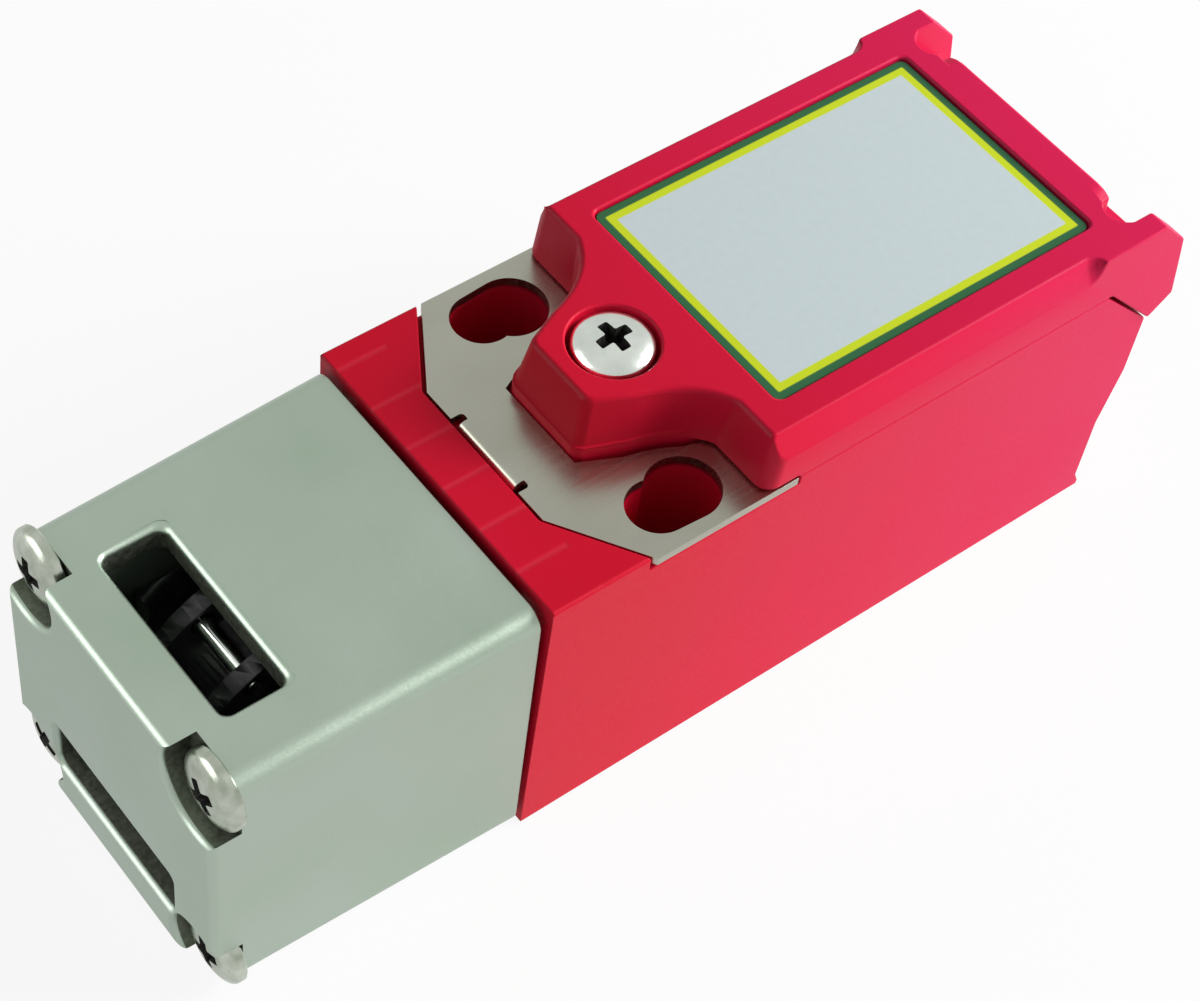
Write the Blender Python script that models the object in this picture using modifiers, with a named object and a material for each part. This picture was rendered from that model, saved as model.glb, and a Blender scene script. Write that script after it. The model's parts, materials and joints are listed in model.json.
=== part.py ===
"""Safety interlock switch with a metal key head, a red switch body and a hinged lid."""

import math

import bmesh
import bpy
from mathutils import Matrix, Vector

MM = 0.001
GAP = 0.3 * MM

# Outer sizes
OVERALL_LENGTH = 81.8 * MM
WIDTH = 25.0 * MM
HEIGHT = 25.0 * MM
MID_Z = HEIGHT / 2

# Key head
HEAD_LENGTH = 24.65 * MM
HEAD_BOTTOM = 0.3 * MM
HEAD_TOP = HEIGHT
HEAD_TAPER = 0.5 * MM
HEAD_LONG_ROUND = 1.7 * MM
HEAD_FRONT_ROUND = 0.8 * MM
HEAD_FRONT_WALL = 3.1 * MM
HEAD_SIDE_WALL = 2.6 * MM
CAVITY_HEIGHT_WALL = 2.3 * MM
SLOT_FROM_CORNER = 4.2 * MM
SLOT_HEIGHT = 4.8 * MM
SLOT_ROUND = 0.75 * MM
SLOT_CHAMFER = 0.3 * MM

# Head screws
SCREW_FROM_SIDE = 2.45 * MM
SCREW_FROM_TOP = 2.6 * MM
SCREW_FROM_BOTTOM = 2.85 * MM
SCREW_WALL = 2.75 * MM
SCREW_ROOF = 3.3 * MM
SCREW_Y = WIDTH / 2 - SCREW_FROM_SIDE
SCREW_TOP_Z = HEAD_TOP - SCREW_FROM_TOP
SCREW_BOTTOM_Z = HEAD_BOTTOM + SCREW_FROM_BOTTOM
CAVITY_TALL_HALF = SCREW_Y - SCREW_WALL
CAVITY_WIDE_HALF_HEIGHT = SCREW_TOP_Z - MID_Z - SCREW_ROOF
SLOT_HALF_WIDTH = CAVITY_TALL_HALF - 0.1 * MM
SCREW_HEAD_RADIUS = 2.9 * MM
SCREW_HEAD_HEIGHT = 2.0 * MM
SCREW_HEAD_SIDE = 0.5 * MM
SCREW_SHANK_RADIUS = 1.4 * MM
SCREW_SEAT_GAP = 0.15 * MM
POCKET_DEPTH = 2.6 * MM
POCKET_RADIUS_TOP = 3.6 * MM
POCKET_RADIUS_BOTTOM = 3.25 * MM
POCKET_LIP = 0.6 * MM
SCREW_GRIP = 5.4 * MM

# Key cam, pins and carrier
CAM_TO_ROOF = 0.9 * MM
CAM_RADIUS = MID_Z - CAVITY_HEIGHT_WALL - CAM_TO_ROOF
CAM_FROM_FRONT = HEAD_FRONT_WALL + GAP + CAM_RADIUS
CAM_FLANGE_INNER = 2.35 * MM
CAM_FLANGE_OUTER = 3.7 * MM
CAM_HUB_RADIUS = 3.2 * MM
CAM_HUB_HALF = CAVITY_TALL_HALF - 0.1 * MM
CAM_ANGLE = math.radians(50)
SNAIL_HIGH = CAM_RADIUS - 1.3 * MM
CAM_WAIST_RADIUS = SNAIL_HIGH - 1.8 * MM
STROKE = 2.0 * MM
PIN_RADIUS = 0.7 * MM
PIN_CIRCLE = CAM_RADIUS - 1.3 * MM
PIN_ANGLES = (math.radians(118.5), math.radians(208.5))
AXLE_RADIUS = 1.5 * MM
CHEEK_THICKNESS = 1.8 * MM
CARRIER_HALF_HEIGHT = CAVITY_WIDE_HALF_HEIGHT - GAP
CARRIER_WALL = 1.9 * MM

# Plunger
PLUNGER_RADIUS = 1.7 * MM
TIP_GAP = 0.35 * MM
BUSH_RADIUS = 3.2 * MM
BUSH_LENGTH = 3.0 * MM

# Switch body
JOINT_GAP = 0.45 * MM
BODY_LENGTH = 54.7 * MM
BODY_DRAFT = 0.45 * MM
STRIP_Z = HEIGHT + 0.55 * MM
RIM_Z = HEIGHT + 0.1 * MM
FLOOR = 2.2 * MM
CHAMBER_FRONT = 22.7 * MM
CHAMBER_REAR_WALL = 3.0 * MM
CHAMBER_HALF = 9.1 * MM
BODY_EDGE = 0.3 * MM

# Mounting plate
PLATE_TOP = HEIGHT + 0.25 * MM
PLATE_THICKNESS = 0.7 * MM
PLATE_FRONT = 4.1 * MM
PLATE_REAR = 20.3 * MM
PLATE_HALF = WIDTH / 2 + 0.55 * MM
PLATE_NOSE_HALF = PLATE_HALF - 6.65 * MM
PLATE_CHAMFER = 4.3 * MM
TAB_HALF = 3.1 * MM
TAB_RELIEF = 0.6 * MM
TAB_DEPTH = 3.3 * MM
BEND_RADIUS = 0.8 * MM
SLOT_LOBE_FRONT = (11.05 * MM, PLATE_HALF - 3.4 * MM, 2.25 * MM)
SLOT_LOBE_REAR = (13.35 * MM, PLATE_HALF - 3.65 * MM, 2.65 * MM)

# Lid
LID_HEIGHT = 4.9 * MM
LID_BOTTOM = RIM_Z + 0.2 * MM
LID_TOP = LID_BOTTOM + LID_HEIGHT
LID_HALF = PLATE_HALF
LID_FLAT_HALF = LID_HALF - 1.0 * MM
LID_CHAMFER_DROP = 2.0 * MM
LID_CHAMFER_END = BODY_LENGTH - 8.7 * MM
LID_CHAMFER_SWEEP = 1.3 * MM
LID_FRONT_FOOT = 17.25 * MM
LID_FRONT_TOP = 17.9 * MM
LID_REAR = BODY_LENGTH - 2.8 * MM
EAR_INNER = LID_HALF - 1.75 * MM
EAR_SEAM = BODY_LENGTH - 5.4 * MM
LID_FOOT_Z = LID_BOTTOM - 0.8 * MM
LABEL_FRONT = 20.35 * MM
LABEL_REAR = BODY_LENGTH - 6.65 * MM
LABEL_HALF = LID_HALF - 3.45 * MM
LABEL_DEPTH = 0.5 * MM
HINGE = (BODY_LENGTH + 0.6 * MM, RIM_Z - 4.1 * MM)

# Lid screw
LID_SCREW_AT = 14.3 * MM
LID_SCREW_SEAT = LID_TOP - 1.9 * MM
LID_SCREW_HEIGHT = 2.5 * MM
LID_SCREW_SIDE = 1.4 * MM
COUNTERBORE_RADIUS = 3.2 * MM
INSERT_RADIUS = 2.4 * MM
INSERT_LENGTH = 4.1 * MM

# Contact block
BLOCK_LENGTH = 21.3 * MM
BLOCK_HALF = CHAMBER_HALF - GAP
BLOCK_TOP = MID_Z + 3.5 * MM
CHANNEL_HALF = 4.2 * MM
CARRIER_HALF = 3.9 * MM
CARRIER_HEIGHT = 6.0 * MM
CARRIER_LENGTH = 13.0 * MM
CARRIER_FRONT = 25.4 * MM
WINDOW_BAR = 1.2 * MM
WINDOW_FROM_FRONT = 4.0 * MM
CARRIER_TAIL = 1.4 * MM
WINDOW_LENGTH = (CARRIER_LENGTH - WINDOW_FROM_FRONT - WINDOW_BAR - CARRIER_TAIL) / 2
WINDOW_HEIGHT = 3.0 * MM
BRIDGE_THICKNESS = 0.6 * MM
BRIDGE_HALF = 7.4 * MM
BRIDGE_HEIGHT = 1.8 * MM
BLADE_THICKNESS = 0.6 * MM
BLADE_INNER = 4.8 * MM
BLADE_OUTER = 7.6 * MM
PAD_LENGTH = 3.8 * MM
PAD_THICKNESS = 0.8 * MM
RETURN_COIL = 2.2 * MM
RETURN_WIRE = 0.25 * MM
BRIDGE_COIL = 1.0 * MM
BRIDGE_WIRE = 0.2 * MM
TERMINAL_Y = 6.2 * MM

# Cable inlet
INLET_Z = MID_Z - 0.5 * MM
INLET_RADIUS = 4.5 * MM
CABLE_RADIUS = 3.2 * MM

# Planes that follow from the sizes above
HEAD_FRONT = -OVERALL_LENGTH / 2
HEAD_REAR = HEAD_FRONT + HEAD_LENGTH
BODY_FRONT = HEAD_REAR + JOINT_GAP
BODY_REAR = BODY_FRONT + BODY_LENGTH
POCKET_FLOOR = HEAD_FRONT + POCKET_DEPTH
CAM_X = HEAD_FRONT + CAM_FROM_FRONT
CAVITY_FRONT = HEAD_FRONT + HEAD_FRONT_WALL
CAVITY_HALF = WIDTH / 2 - HEAD_SIDE_WALL
CAVITY_TALL = MID_Z - CAVITY_HEIGHT_WALL
CARRIER_REAR = HEAD_REAR - 0.25 * MM
BLOCK_FRONT = BODY_FRONT + CHAMBER_FRONT + GAP
BLOCK_BOTTOM = FLOOR + GAP
CHAMBER_REAR = BODY_FRONT + BODY_LENGTH - CHAMBER_REAR_WALL
INSERT_BOTTOM = PLATE_TOP - PLATE_THICKNESS - GAP - INSERT_LENGTH


def along(distance):
    """X of a point so far behind the front face of the switch body."""
    return BODY_FRONT + distance


# Scene set-up

for item in list(bpy.data.objects):
    bpy.data.objects.remove(item, do_unlink=True)
for item in list(bpy.data.collections):
    bpy.data.collections.remove(item)

PARTS = bpy.data.collections.new("Safety interlock switch")
CUTTERS = bpy.data.collections.new("Cutters")
bpy.context.scene.collection.children.link(PARTS)
bpy.context.scene.collection.children.link(CUTTERS)
CUTTERS.hide_render = True


def material(name, colour, metallic, roughness):
    made = bpy.data.materials.new(name)
    made.use_nodes = True
    shader = made.node_tree.nodes["Principled BSDF"]
    shader.inputs["Base Color"].default_value = (*colour, 1.0)
    shader.inputs["Metallic"].default_value = metallic
    shader.inputs["Roughness"].default_value = roughness
    made.diffuse_color = (*colour, 1.0)
    return made


DIE_CAST = material("satin die cast", (0.46, 0.48, 0.45), 0.9, 0.42)
RED = material("red moulding", (0.62, 0.012, 0.035), 0.0, 0.42)
STAINLESS = material("stainless sheet", (0.50, 0.50, 0.42), 1.0, 0.30)
STEEL = material("plated steel", (0.62, 0.63, 0.60), 1.0, 0.22)
BLACK = material("black moulding", (0.018, 0.018, 0.020), 0.0, 0.45)
CREAM = material("natural moulding", (0.62, 0.58, 0.46), 0.0, 0.50)
RUBBER = material("black rubber", (0.012, 0.012, 0.012), 0.0, 0.80)
BRASS = material("brass", (0.66, 0.47, 0.17), 1.0, 0.30)
SILVER = material("silver contact", (0.75, 0.74, 0.70), 1.0, 0.25)
LABEL = material("label face", (0.62, 0.74, 0.78), 0.0, 0.35)


# Outlines

def arc(centre, radius, start, end, steps):
    """Points on a circle from one angle to another, both ends included."""
    turn = (end - start) / steps
    return [
        (centre[0] + radius * math.cos(start + turn * i), centre[1] + radius * math.sin(start + turn * i))
        for i in range(steps + 1)
    ]


def rounded(corners, radius, steps=4):
    """The closed outline through these corners, each rounded to the radius."""
    points = []
    count = len(corners)
    for i, corner in enumerate(corners):
        here = Vector(corner)
        back = (Vector(corners[i - 1]) - here).normalized()
        ahead = (Vector(corners[(i + 1) % count]) - here).normalized()
        half = back.angle(ahead) / 2
        centre = here + (back + ahead).normalized() * (radius / math.sin(half))
        first = here + back * (radius / math.tan(half)) - centre
        last = here + ahead * (radius / math.tan(half)) - centre
        for step in range(steps + 1):
            mix = first.lerp(last, step / steps).normalized() * radius
            points.append(tuple(centre + mix))
    return points


def rectangle(low, high, radius=0.0, steps=4):
    corners = [(low[0], low[1]), (high[0], low[1]), (high[0], high[1]), (low[0], high[1])]
    return rounded(corners, radius, steps) if radius else corners


def cross(grow):
    """Cross section of the head cavity around the middle axis, grown outwards."""
    wide, low = CAVITY_HALF + grow, CAVITY_WIDE_HALF_HEIGHT + grow
    narrow, high = CAVITY_TALL_HALF + grow, CAVITY_TALL + grow
    quarter = [(wide, low), (narrow, low), (narrow, high)]
    outline = quarter + [(-y, z) for y, z in reversed(quarter)]
    outline += [(-y, -z) for y, z in quarter] + [(y, -z) for y, z in reversed(quarter)]
    return [(y, MID_Z + z) for y, z in outline]


def mirrored(outline):
    return [(x, -y) for x, y in reversed(outline)]


def pear(side):
    """Outline of the fixing slot: two round lobes, smooth outside and with a cusp inside."""
    x1, y1, r1 = SLOT_LOBE_FRONT
    x2, y2, r2 = SLOT_LOBE_REAR
    reach = math.hypot(x2 - x1, y2 - y1)
    lean = math.atan2(y2 - y1, x2 - x1)
    tangent = lean + math.acos((r1 - r2) / reach)
    foot = (reach**2 + r1**2 - r2**2) / (2 * reach)
    front_cusp = lean - math.acos(foot / r1)
    rear_cusp = lean - math.acos((foot - reach) / r2)
    outline = arc((x1, y1), r1, tangent, front_cusp + 2 * math.pi, 14)[:-1]
    outline += arc((x2, y2), r2, rear_cusp, tangent, 20)
    outline = [(along(x), y) for x, y in outline]
    return outline if side > 0 else mirrored(outline)


# Solids

PLANES = {
    "X": Matrix(((0, 0, 1), (1, 0, 0), (0, 1, 0))).to_4x4(),
    "Y": Matrix(((1, 0, 0), (0, 0, 1), (0, 1, 0))).to_4x4(),
    "Z": Matrix.Identity(4),
}


def keep(obj, name, look=None):
    """Names the object and files it with the parts, or with the cutters when it has no look."""
    obj.name = obj.data.name = name
    for holder in list(obj.users_collection):
        holder.objects.unlink(obj)
    (PARTS if look else CUTTERS).objects.link(obj)
    if look:
        obj.data.materials.clear()
        obj.data.materials.append(look)
        if len(obj.data.polygons):
            obj.data.shade_smooth()
            obj.data.set_sharp_from_angle(angle=math.radians(32))
    else:
        obj.hide_render = True
        obj.display_type = "WIRE"
    return obj


def box(name, low, high, look=None):
    bpy.ops.mesh.primitive_cube_add(size=1, location=[(a + b) / 2 for a, b in zip(low, high)])
    obj = bpy.context.object
    obj.scale = [b - a for a, b in zip(low, high)]
    bpy.ops.object.transform_apply(location=False, rotation=False, scale=True)
    return keep(obj, name, look)


def rod(name, radius, axis, start, end, centre, look=None, vertices=32):
    """A cylinder along an axis, its centre given by the two other coordinates."""
    places = {
        "X": ((start + end) / 2, *centre),
        "Y": (centre[0], (start + end) / 2, centre[1]),
        "Z": (*centre, (start + end) / 2),
    }
    turns = {"X": (0, math.pi / 2, 0), "Y": (math.pi / 2, 0, 0), "Z": (0, 0, 0)}
    bpy.ops.mesh.primitive_cylinder_add(
        vertices=vertices, radius=radius, depth=end - start, location=places[axis], rotation=turns[axis]
    )
    bpy.ops.object.transform_apply(location=False, rotation=True, scale=False)
    return keep(bpy.context.object, name, look)


def flat(name, outlines, axis, start, end, look=None):
    """A plate with this outline, and holes for any further ones, between two planes."""
    if len(outlines) == 1:
        rings = [[(x, y, z) for x, y in outlines[0]] for z in (start, end)]
        return loft(name, [[PLANES[axis] @ Vector(p) for p in ring] for ring in rings], look)
    curve = bpy.data.curves.new(name, "CURVE")
    curve.dimensions = "2D"
    curve.fill_mode = "BOTH"
    curve.extrude = (end - start) / 2
    for outline in outlines:
        spline = curve.splines.new("POLY")
        spline.points.add(len(outline) - 1)
        for point, place in zip(spline.points, outline):
            point.co = (*place, 0, 1)
        spline.use_cyclic_u = True
    guide = bpy.data.objects.new(name, curve)
    bpy.context.scene.collection.objects.link(guide)
    middle = (start + end) / 2
    guide.matrix_world = Matrix.Translation([middle * (axis == a) for a in "XYZ"]) @ PLANES[axis]
    bpy.context.view_layer.update()
    graph = bpy.context.evaluated_depsgraph_get()
    mesh = bpy.data.meshes.new_from_object(guide.evaluated_get(graph))
    work = bmesh.new()
    work.from_mesh(mesh)
    bmesh.ops.remove_doubles(work, verts=work.verts, dist=1e-6)
    bmesh.ops.dissolve_limit(work, angle_limit=0.002, verts=work.verts, edges=work.edges)
    bmesh.ops.recalc_face_normals(work, faces=work.faces)
    work.to_mesh(mesh)
    work.free()
    obj = bpy.data.objects.new(name, mesh)
    bpy.context.scene.collection.objects.link(obj)
    obj.matrix_world = guide.matrix_world.copy()
    bpy.data.objects.remove(guide, do_unlink=True)
    return keep(obj, name, look)


def loft(name, rings, look=None):
    """A closed skin through rings of points, each ring with the same number of points."""
    work = bmesh.new()
    loops = [[work.verts.new(point) for point in ring] for ring in rings]
    count = len(rings[0])
    work.faces.new(loops[0])
    work.faces.new(loops[-1])
    for low, high in zip(loops, loops[1:]):
        for i in range(count):
            after = (i + 1) % count
            work.faces.new((low[i], low[after], high[after], high[i]))
    bmesh.ops.recalc_face_normals(work, faces=work.faces)
    mesh = bpy.data.meshes.new(name)
    work.to_mesh(mesh)
    work.free()
    obj = bpy.data.objects.new(name, mesh)
    bpy.context.scene.collection.objects.link(obj)
    return keep(obj, name, look)


def turned(name, profile, origin, direction, look=None, steps=32):
    """A turned shape: the profile runs down the outer side, and its local Z points in the direction."""
    work = bmesh.new()
    points = [work.verts.new((r, 0, z)) for r, z in profile]
    for first, second in zip(points, points[1:]):
        work.edges.new((first, second))
    mesh = bpy.data.meshes.new(name)
    work.to_mesh(mesh)
    work.free()
    obj = bpy.data.objects.new(name, mesh)
    bpy.context.scene.collection.objects.link(obj)
    obj.location = origin
    obj.rotation_euler = Vector(direction).to_track_quat("Z", "Y").to_euler()
    screw = obj.modifiers.new("Turned", "SCREW")
    screw.steps = screw.render_steps = steps
    screw.use_merge_vertices = True
    screw.merge_threshold = 0.00001
    screw.use_smooth_shade = True
    return keep(obj, name, look)


def combine(obj, others, operation):
    for other in others:
        modifier = obj.modifiers.new(other.name, "BOOLEAN")
        modifier.operation = operation
        modifier.solver = "EXACT"
        modifier.object = other


def cut(obj, *others):
    combine(obj, others, "DIFFERENCE")


def join(obj, *others):
    combine(obj, others, "UNION")


def pivot(name, point, *pieces):
    """An empty on a joint axis that carries the pieces which move about it."""
    holder = bpy.data.objects.new(name, None)
    holder.location = point
    holder.empty_display_size = 5 * MM
    PARTS.objects.link(holder)
    for piece in pieces:
        piece.parent = holder
        piece.matrix_parent_inverse = Matrix.Translation(-Vector(point))


def screw_piece(name, seat, direction, head, shank, look, steps=32):
    """A domed screw with a cross recess, its seat under the head. The head is its radius, height and straight
    side, and the shank its radius and length."""
    head_radius, head_height, side = head
    shank_radius, length = shank
    profile = [
        (head_radius * math.sin(turn), side + (head_height - side) * math.cos(turn))
        for turn in (math.pi / 2 * step / 7 for step in range(8))
    ]
    profile += [(head_radius, 0), (shank_radius, 0), (shank_radius, -length), (0, -length)]
    piece = turned(name, profile, seat, direction, look, steps)
    arm, blade = head_radius * 0.5, head_radius * 0.13
    plus = [
        (arm, -blade), (arm, blade), (blade, blade), (blade, arm), (-blade, arm), (-blade, blade),
        (-arm, blade), (-arm, -blade), (-blade, -blade), (-blade, -arm), (blade, -arm), (blade, -blade),
    ]
    deep, high = head_height - 0.5 * head_radius, head_height * 1.1
    recess = loft(
        name + " recess",
        [[(x * 0.6, y * 0.6, deep) for x, y in plus], [(x * 1.1, y * 1.1, high) for x, y in plus]],
    )
    recess.location = piece.location
    recess.rotation_euler = piece.rotation_euler
    cut(piece, recess)
    return piece


def spring(name, start, end, centre, coil, wire, turns, look):
    """A compression spring along X."""
    curve = bpy.data.curves.new(name, "CURVE")
    curve.dimensions = "3D"
    curve.bevel_depth = wire
    curve.bevel_resolution = 2
    curve.use_fill_caps = True
    per_turn = 12
    count = int(turns * per_turn)
    spline = curve.splines.new("POLY")
    spline.points.add(count)
    for i, point in enumerate(spline.points):
        angle = 2 * math.pi * i / per_turn
        run = start + wire + (end - start - 2 * wire) * i / count
        point.co = (run, centre[0] + coil * math.cos(angle), centre[1] + coil * math.sin(angle), 1)
    obj = bpy.data.objects.new(name, curve)
    bpy.context.scene.collection.objects.link(obj)
    bpy.context.view_layer.update()
    graph = bpy.context.evaluated_depsgraph_get()
    mesh = bpy.data.meshes.new_from_object(obj.evaluated_get(graph))
    work = bmesh.new()
    work.from_mesh(mesh)
    bmesh.ops.remove_doubles(work, verts=work.verts, dist=1e-6)
    bmesh.ops.recalc_face_normals(work, faces=work.faces)
    work.to_mesh(mesh)
    work.free()
    bpy.data.objects.remove(obj, do_unlink=True)
    coil_piece = bpy.data.objects.new(name, mesh)
    bpy.context.scene.collection.objects.link(coil_piece)
    return keep(coil_piece, name, look)


# Key head

def head_ring(x, inset):
    half = WIDTH / 2 - inset
    low, high = HEAD_BOTTOM + inset, HEAD_TOP - inset
    return [(x, -half, low), (x, half, low), (x, half, high), (x, -half, high)]


SCREW_SPOTS = [
    ("top_left", SCREW_Y, SCREW_TOP_Z, POCKET_RADIUS_TOP),
    ("top_right", -SCREW_Y, SCREW_TOP_Z, POCKET_RADIUS_TOP),
    ("bottom_left", SCREW_Y, SCREW_BOTTOM_Z, POCKET_RADIUS_BOTTOM),
    ("bottom_right", -SCREW_Y, SCREW_BOTTOM_Z, POCKET_RADIUS_BOTTOM),
]


def head_shell():
    shell = loft("head_shell", [head_ring(HEAD_FRONT, HEAD_TAPER), head_ring(HEAD_REAR, 0)], DIE_CAST)
    weights = shell.data.attributes.new("bevel_weight_edge", "FLOAT", "EDGE")
    for edge in shell.data.edges:
        first, second = (shell.data.vertices[i].co for i in edge.vertices)
        if abs(first.x - second.x) > HEAD_LENGTH / 2:
            weights.data[edge.index].value = 1.0
        elif first.x < HEAD_FRONT + HEAD_LENGTH / 2:
            weights.data[edge.index].value = HEAD_FRONT_ROUND / HEAD_LONG_ROUND
    bevel = shell.modifiers.new("Rounded edges", "BEVEL")
    bevel.limit_method = "WEIGHT"
    bevel.width = HEAD_LONG_ROUND
    bevel.segments = 4
    cut(shell, flat("head cavity", [cross(0)], "X", CAVITY_FRONT, HEAD_REAR + 1 * MM))

    slot_low, slot_high = HEAD_FRONT + SLOT_FROM_CORNER, HEAD_FRONT + SLOT_FROM_CORNER + SLOT_HEIGHT
    rings = []
    for z, grow in (
        (MID_Z, 0), (HEAD_TOP - SLOT_CHAMFER, 0), (HEAD_TOP + SLOT_CHAMFER, 2 * SLOT_CHAMFER),
    ):
        outline = rectangle(
            (slot_low - grow, -SLOT_HALF_WIDTH - grow), (slot_high + grow, SLOT_HALF_WIDTH + grow),
            SLOT_ROUND + grow,
        )
        rings.append([(x, y, z) for x, y in outline])
    cut(shell, loft("top key slot", rings))
    rings = []
    slot_low, slot_high = HEAD_BOTTOM + SLOT_FROM_CORNER, HEAD_BOTTOM + SLOT_FROM_CORNER + SLOT_HEIGHT
    for x, grow in (
        (CAM_X, 0), (HEAD_FRONT + SLOT_CHAMFER, 0), (HEAD_FRONT - SLOT_CHAMFER, 2 * SLOT_CHAMFER),
    ):
        outline = rectangle(
            (-SLOT_HALF_WIDTH - grow, slot_low - grow), (SLOT_HALF_WIDTH + grow, slot_high + grow),
            SLOT_ROUND + grow,
        )
        rings.append([(x, y, z) for y, z in outline])
    cut(shell, loft("front key slot", rings))

    for spot, y, z, radius in SCREW_SPOTS:
        lip = arc((radius + POCKET_LIP, POCKET_DEPTH - POCKET_LIP), POCKET_LIP, math.pi / 2, math.pi, 4)
        profile = [(0, POCKET_DEPTH + 2 * MM), (radius + POCKET_LIP, POCKET_DEPTH + 2 * MM)]
        profile += lip + [(radius, 0), (0, 0)]
        pocket = turned("pocket " + spot, profile, (POCKET_FLOOR, y, z), (-1, 0, 0), steps=40)
        floor = pocket.modifiers.new("Plain floor", "DECIMATE")
        floor.decimate_type = "DISSOLVE"
        floor.angle_limit = math.radians(1)
        hole = rod(
            "head hole " + spot, SCREW_SHANK_RADIUS + 0.25 * MM, "X",
            POCKET_FLOOR - 1 * MM, HEAD_REAR + 1 * MM, (y, z), vertices=20,
        )
        cut(shell, hole, pocket)
    return shell


def head_fixings():
    for spot, y, z, _ in SCREW_SPOTS:
        seat = (POCKET_FLOOR - SCREW_SEAT_GAP, y, z)
        screw_piece(
            "head_screw_" + spot, seat, (-1, 0, 0), (SCREW_HEAD_RADIUS, SCREW_HEAD_HEIGHT, SCREW_HEAD_SIDE),
            (SCREW_SHANK_RADIUS, BODY_FRONT + SCREW_GRIP - seat[0]), STEEL,
        )
    outlines = [cross(1.0 * MM), cross(0.5 * MM)]
    flat("head_gasket", outlines, "X", BODY_FRONT - 0.2 * MM, BODY_FRONT + 0.8 * MM, RUBBER)


# Key cam: the snail lets the plunger out as the key turns it

def snail_radius(angle):
    """Radius of the waist of the cam at an angle from +X towards +Z, in the range -180 to 180 degrees."""
    degrees = math.degrees(angle)
    sweep = math.degrees(CAM_ANGLE)
    low = SNAIL_HIGH - STROKE
    if -sweep - 12 <= degrees < -sweep:
        return low
    if -sweep <= degrees <= 0:
        return low + STROKE * (1 + degrees / sweep)
    if 0 < degrees <= 40:
        return SNAIL_HIGH
    if 40 < degrees <= 75:
        blend = (1 - math.cos(math.pi * (degrees - 40) / 35)) / 2
        return SNAIL_HIGH + (CAM_WAIST_RADIUS - SNAIL_HIGH) * blend
    return min(CAM_WAIST_RADIUS, low + 0.2 * MM)


def key_cam():
    steps = 72
    outline = []
    for i in range(steps):
        angle = -math.pi + 2 * math.pi * i / steps
        radius = snail_radius(angle)
        outline.append((CAM_X + radius * math.cos(angle), MID_Z + radius * math.sin(angle)))
    cam = flat("key_cam", [outline], "Y", -CAM_FLANGE_INNER - 0.2 * MM, CAM_FLANGE_INNER + 0.2 * MM, BLACK)
    centre = (CAM_X, MID_Z)
    for side, name in ((1, "left"), (-1, "right")):
        inner, outer = sorted((side * CAM_FLANGE_INNER, side * CAM_FLANGE_OUTER))
        join(cam, rod("cam flange " + name, CAM_RADIUS, "Y", inner, outer, centre, vertices=60))
    join(cam, rod("cam hub", CAM_HUB_RADIUS, "Y", -CAM_HUB_HALF, CAM_HUB_HALF, centre))
    cut(cam, rod("cam bore", AXLE_RADIUS + GAP, "Y", -WIDTH / 2, WIDTH / 2, centre, vertices=24))
    turning = [cam]
    for angle, name in zip(PIN_ANGLES, ("top", "front")):
        spot = (CAM_X + PIN_CIRCLE * math.cos(angle), MID_Z + PIN_CIRCLE * math.sin(angle))
        cut(cam, rod("pin hole " + name, PIN_RADIUS + GAP, "Y", -WIDTH / 2, WIDTH / 2, spot, vertices=20))
        reach = CAM_FLANGE_OUTER - 0.2 * MM
        pin = rod("catch_pin_" + name, PIN_RADIUS, "Y", -reach, reach, spot, STEEL, vertices=20)
        turning.append(pin)
    pivot("cam axis", (CAM_X, 0, MID_Z), *turning)


def cam_carrier():
    low, high = MID_Z - CARRIER_HALF_HEIGHT, MID_Z + CARRIER_HALF_HEIGHT
    inner = CAM_HUB_HALF + GAP
    outer = inner + CHEEK_THICKNESS
    front = CAM_X - CAM_HUB_RADIUS - 1.5 * MM
    profile = [(CARRIER_REAR, low), (CARRIER_REAR, high), (front + 4 * MM, high)]
    profile += [(front, MID_Z + 3 * MM), (front, MID_Z - 3 * MM), (front + 4 * MM, low)]
    frame = flat("cam_carrier", [profile], "Y", -outer, outer, BLACK)
    cut(frame, box(
        "carrier opening", (HEAD_FRONT, -inner, 0), (CARRIER_REAR - CARRIER_WALL, inner, WIDTH),
    ))
    centre = (CAM_X, MID_Z)
    cut(frame, rod("axle hole", AXLE_RADIUS + GAP, "Y", -WIDTH / 2, WIDTH / 2, centre, vertices=24))
    cut(frame, rod("carrier bore", PLUNGER_RADIUS + GAP, "X", CAM_X, BODY_FRONT, (0, MID_Z), vertices=24))
    rod("cam_axle", AXLE_RADIUS, "Y", -outer + 0.1 * MM, outer - 0.1 * MM, centre, STEEL, vertices=24)


def plunger():
    tip = CAM_X + SNAIL_HIGH + TIP_GAP
    end = along(CARRIER_FRONT) - 0.3 * MM
    length = end - tip
    profile = [(0, 0)] + arc((0, -PLUNGER_RADIUS), PLUNGER_RADIUS, math.pi / 2, 0, 6)[1:]
    profile += [(PLUNGER_RADIUS, -length), (0, -length)]
    turned("plunger", profile, (tip, 0, MID_Z), (-1, 0, 0), STEEL, steps=24)
    bush = rod(
        "plunger_bush", BUSH_RADIUS, "X", along(0.4 * MM), along(0.4 * MM + BUSH_LENGTH), (0, MID_Z), BRASS,
    )
    cut(bush, rod("bush bore", PLUNGER_RADIUS + GAP, "X", HEAD_REAR, along(10 * MM), (0, MID_Z), vertices=24))


# Switch body

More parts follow.
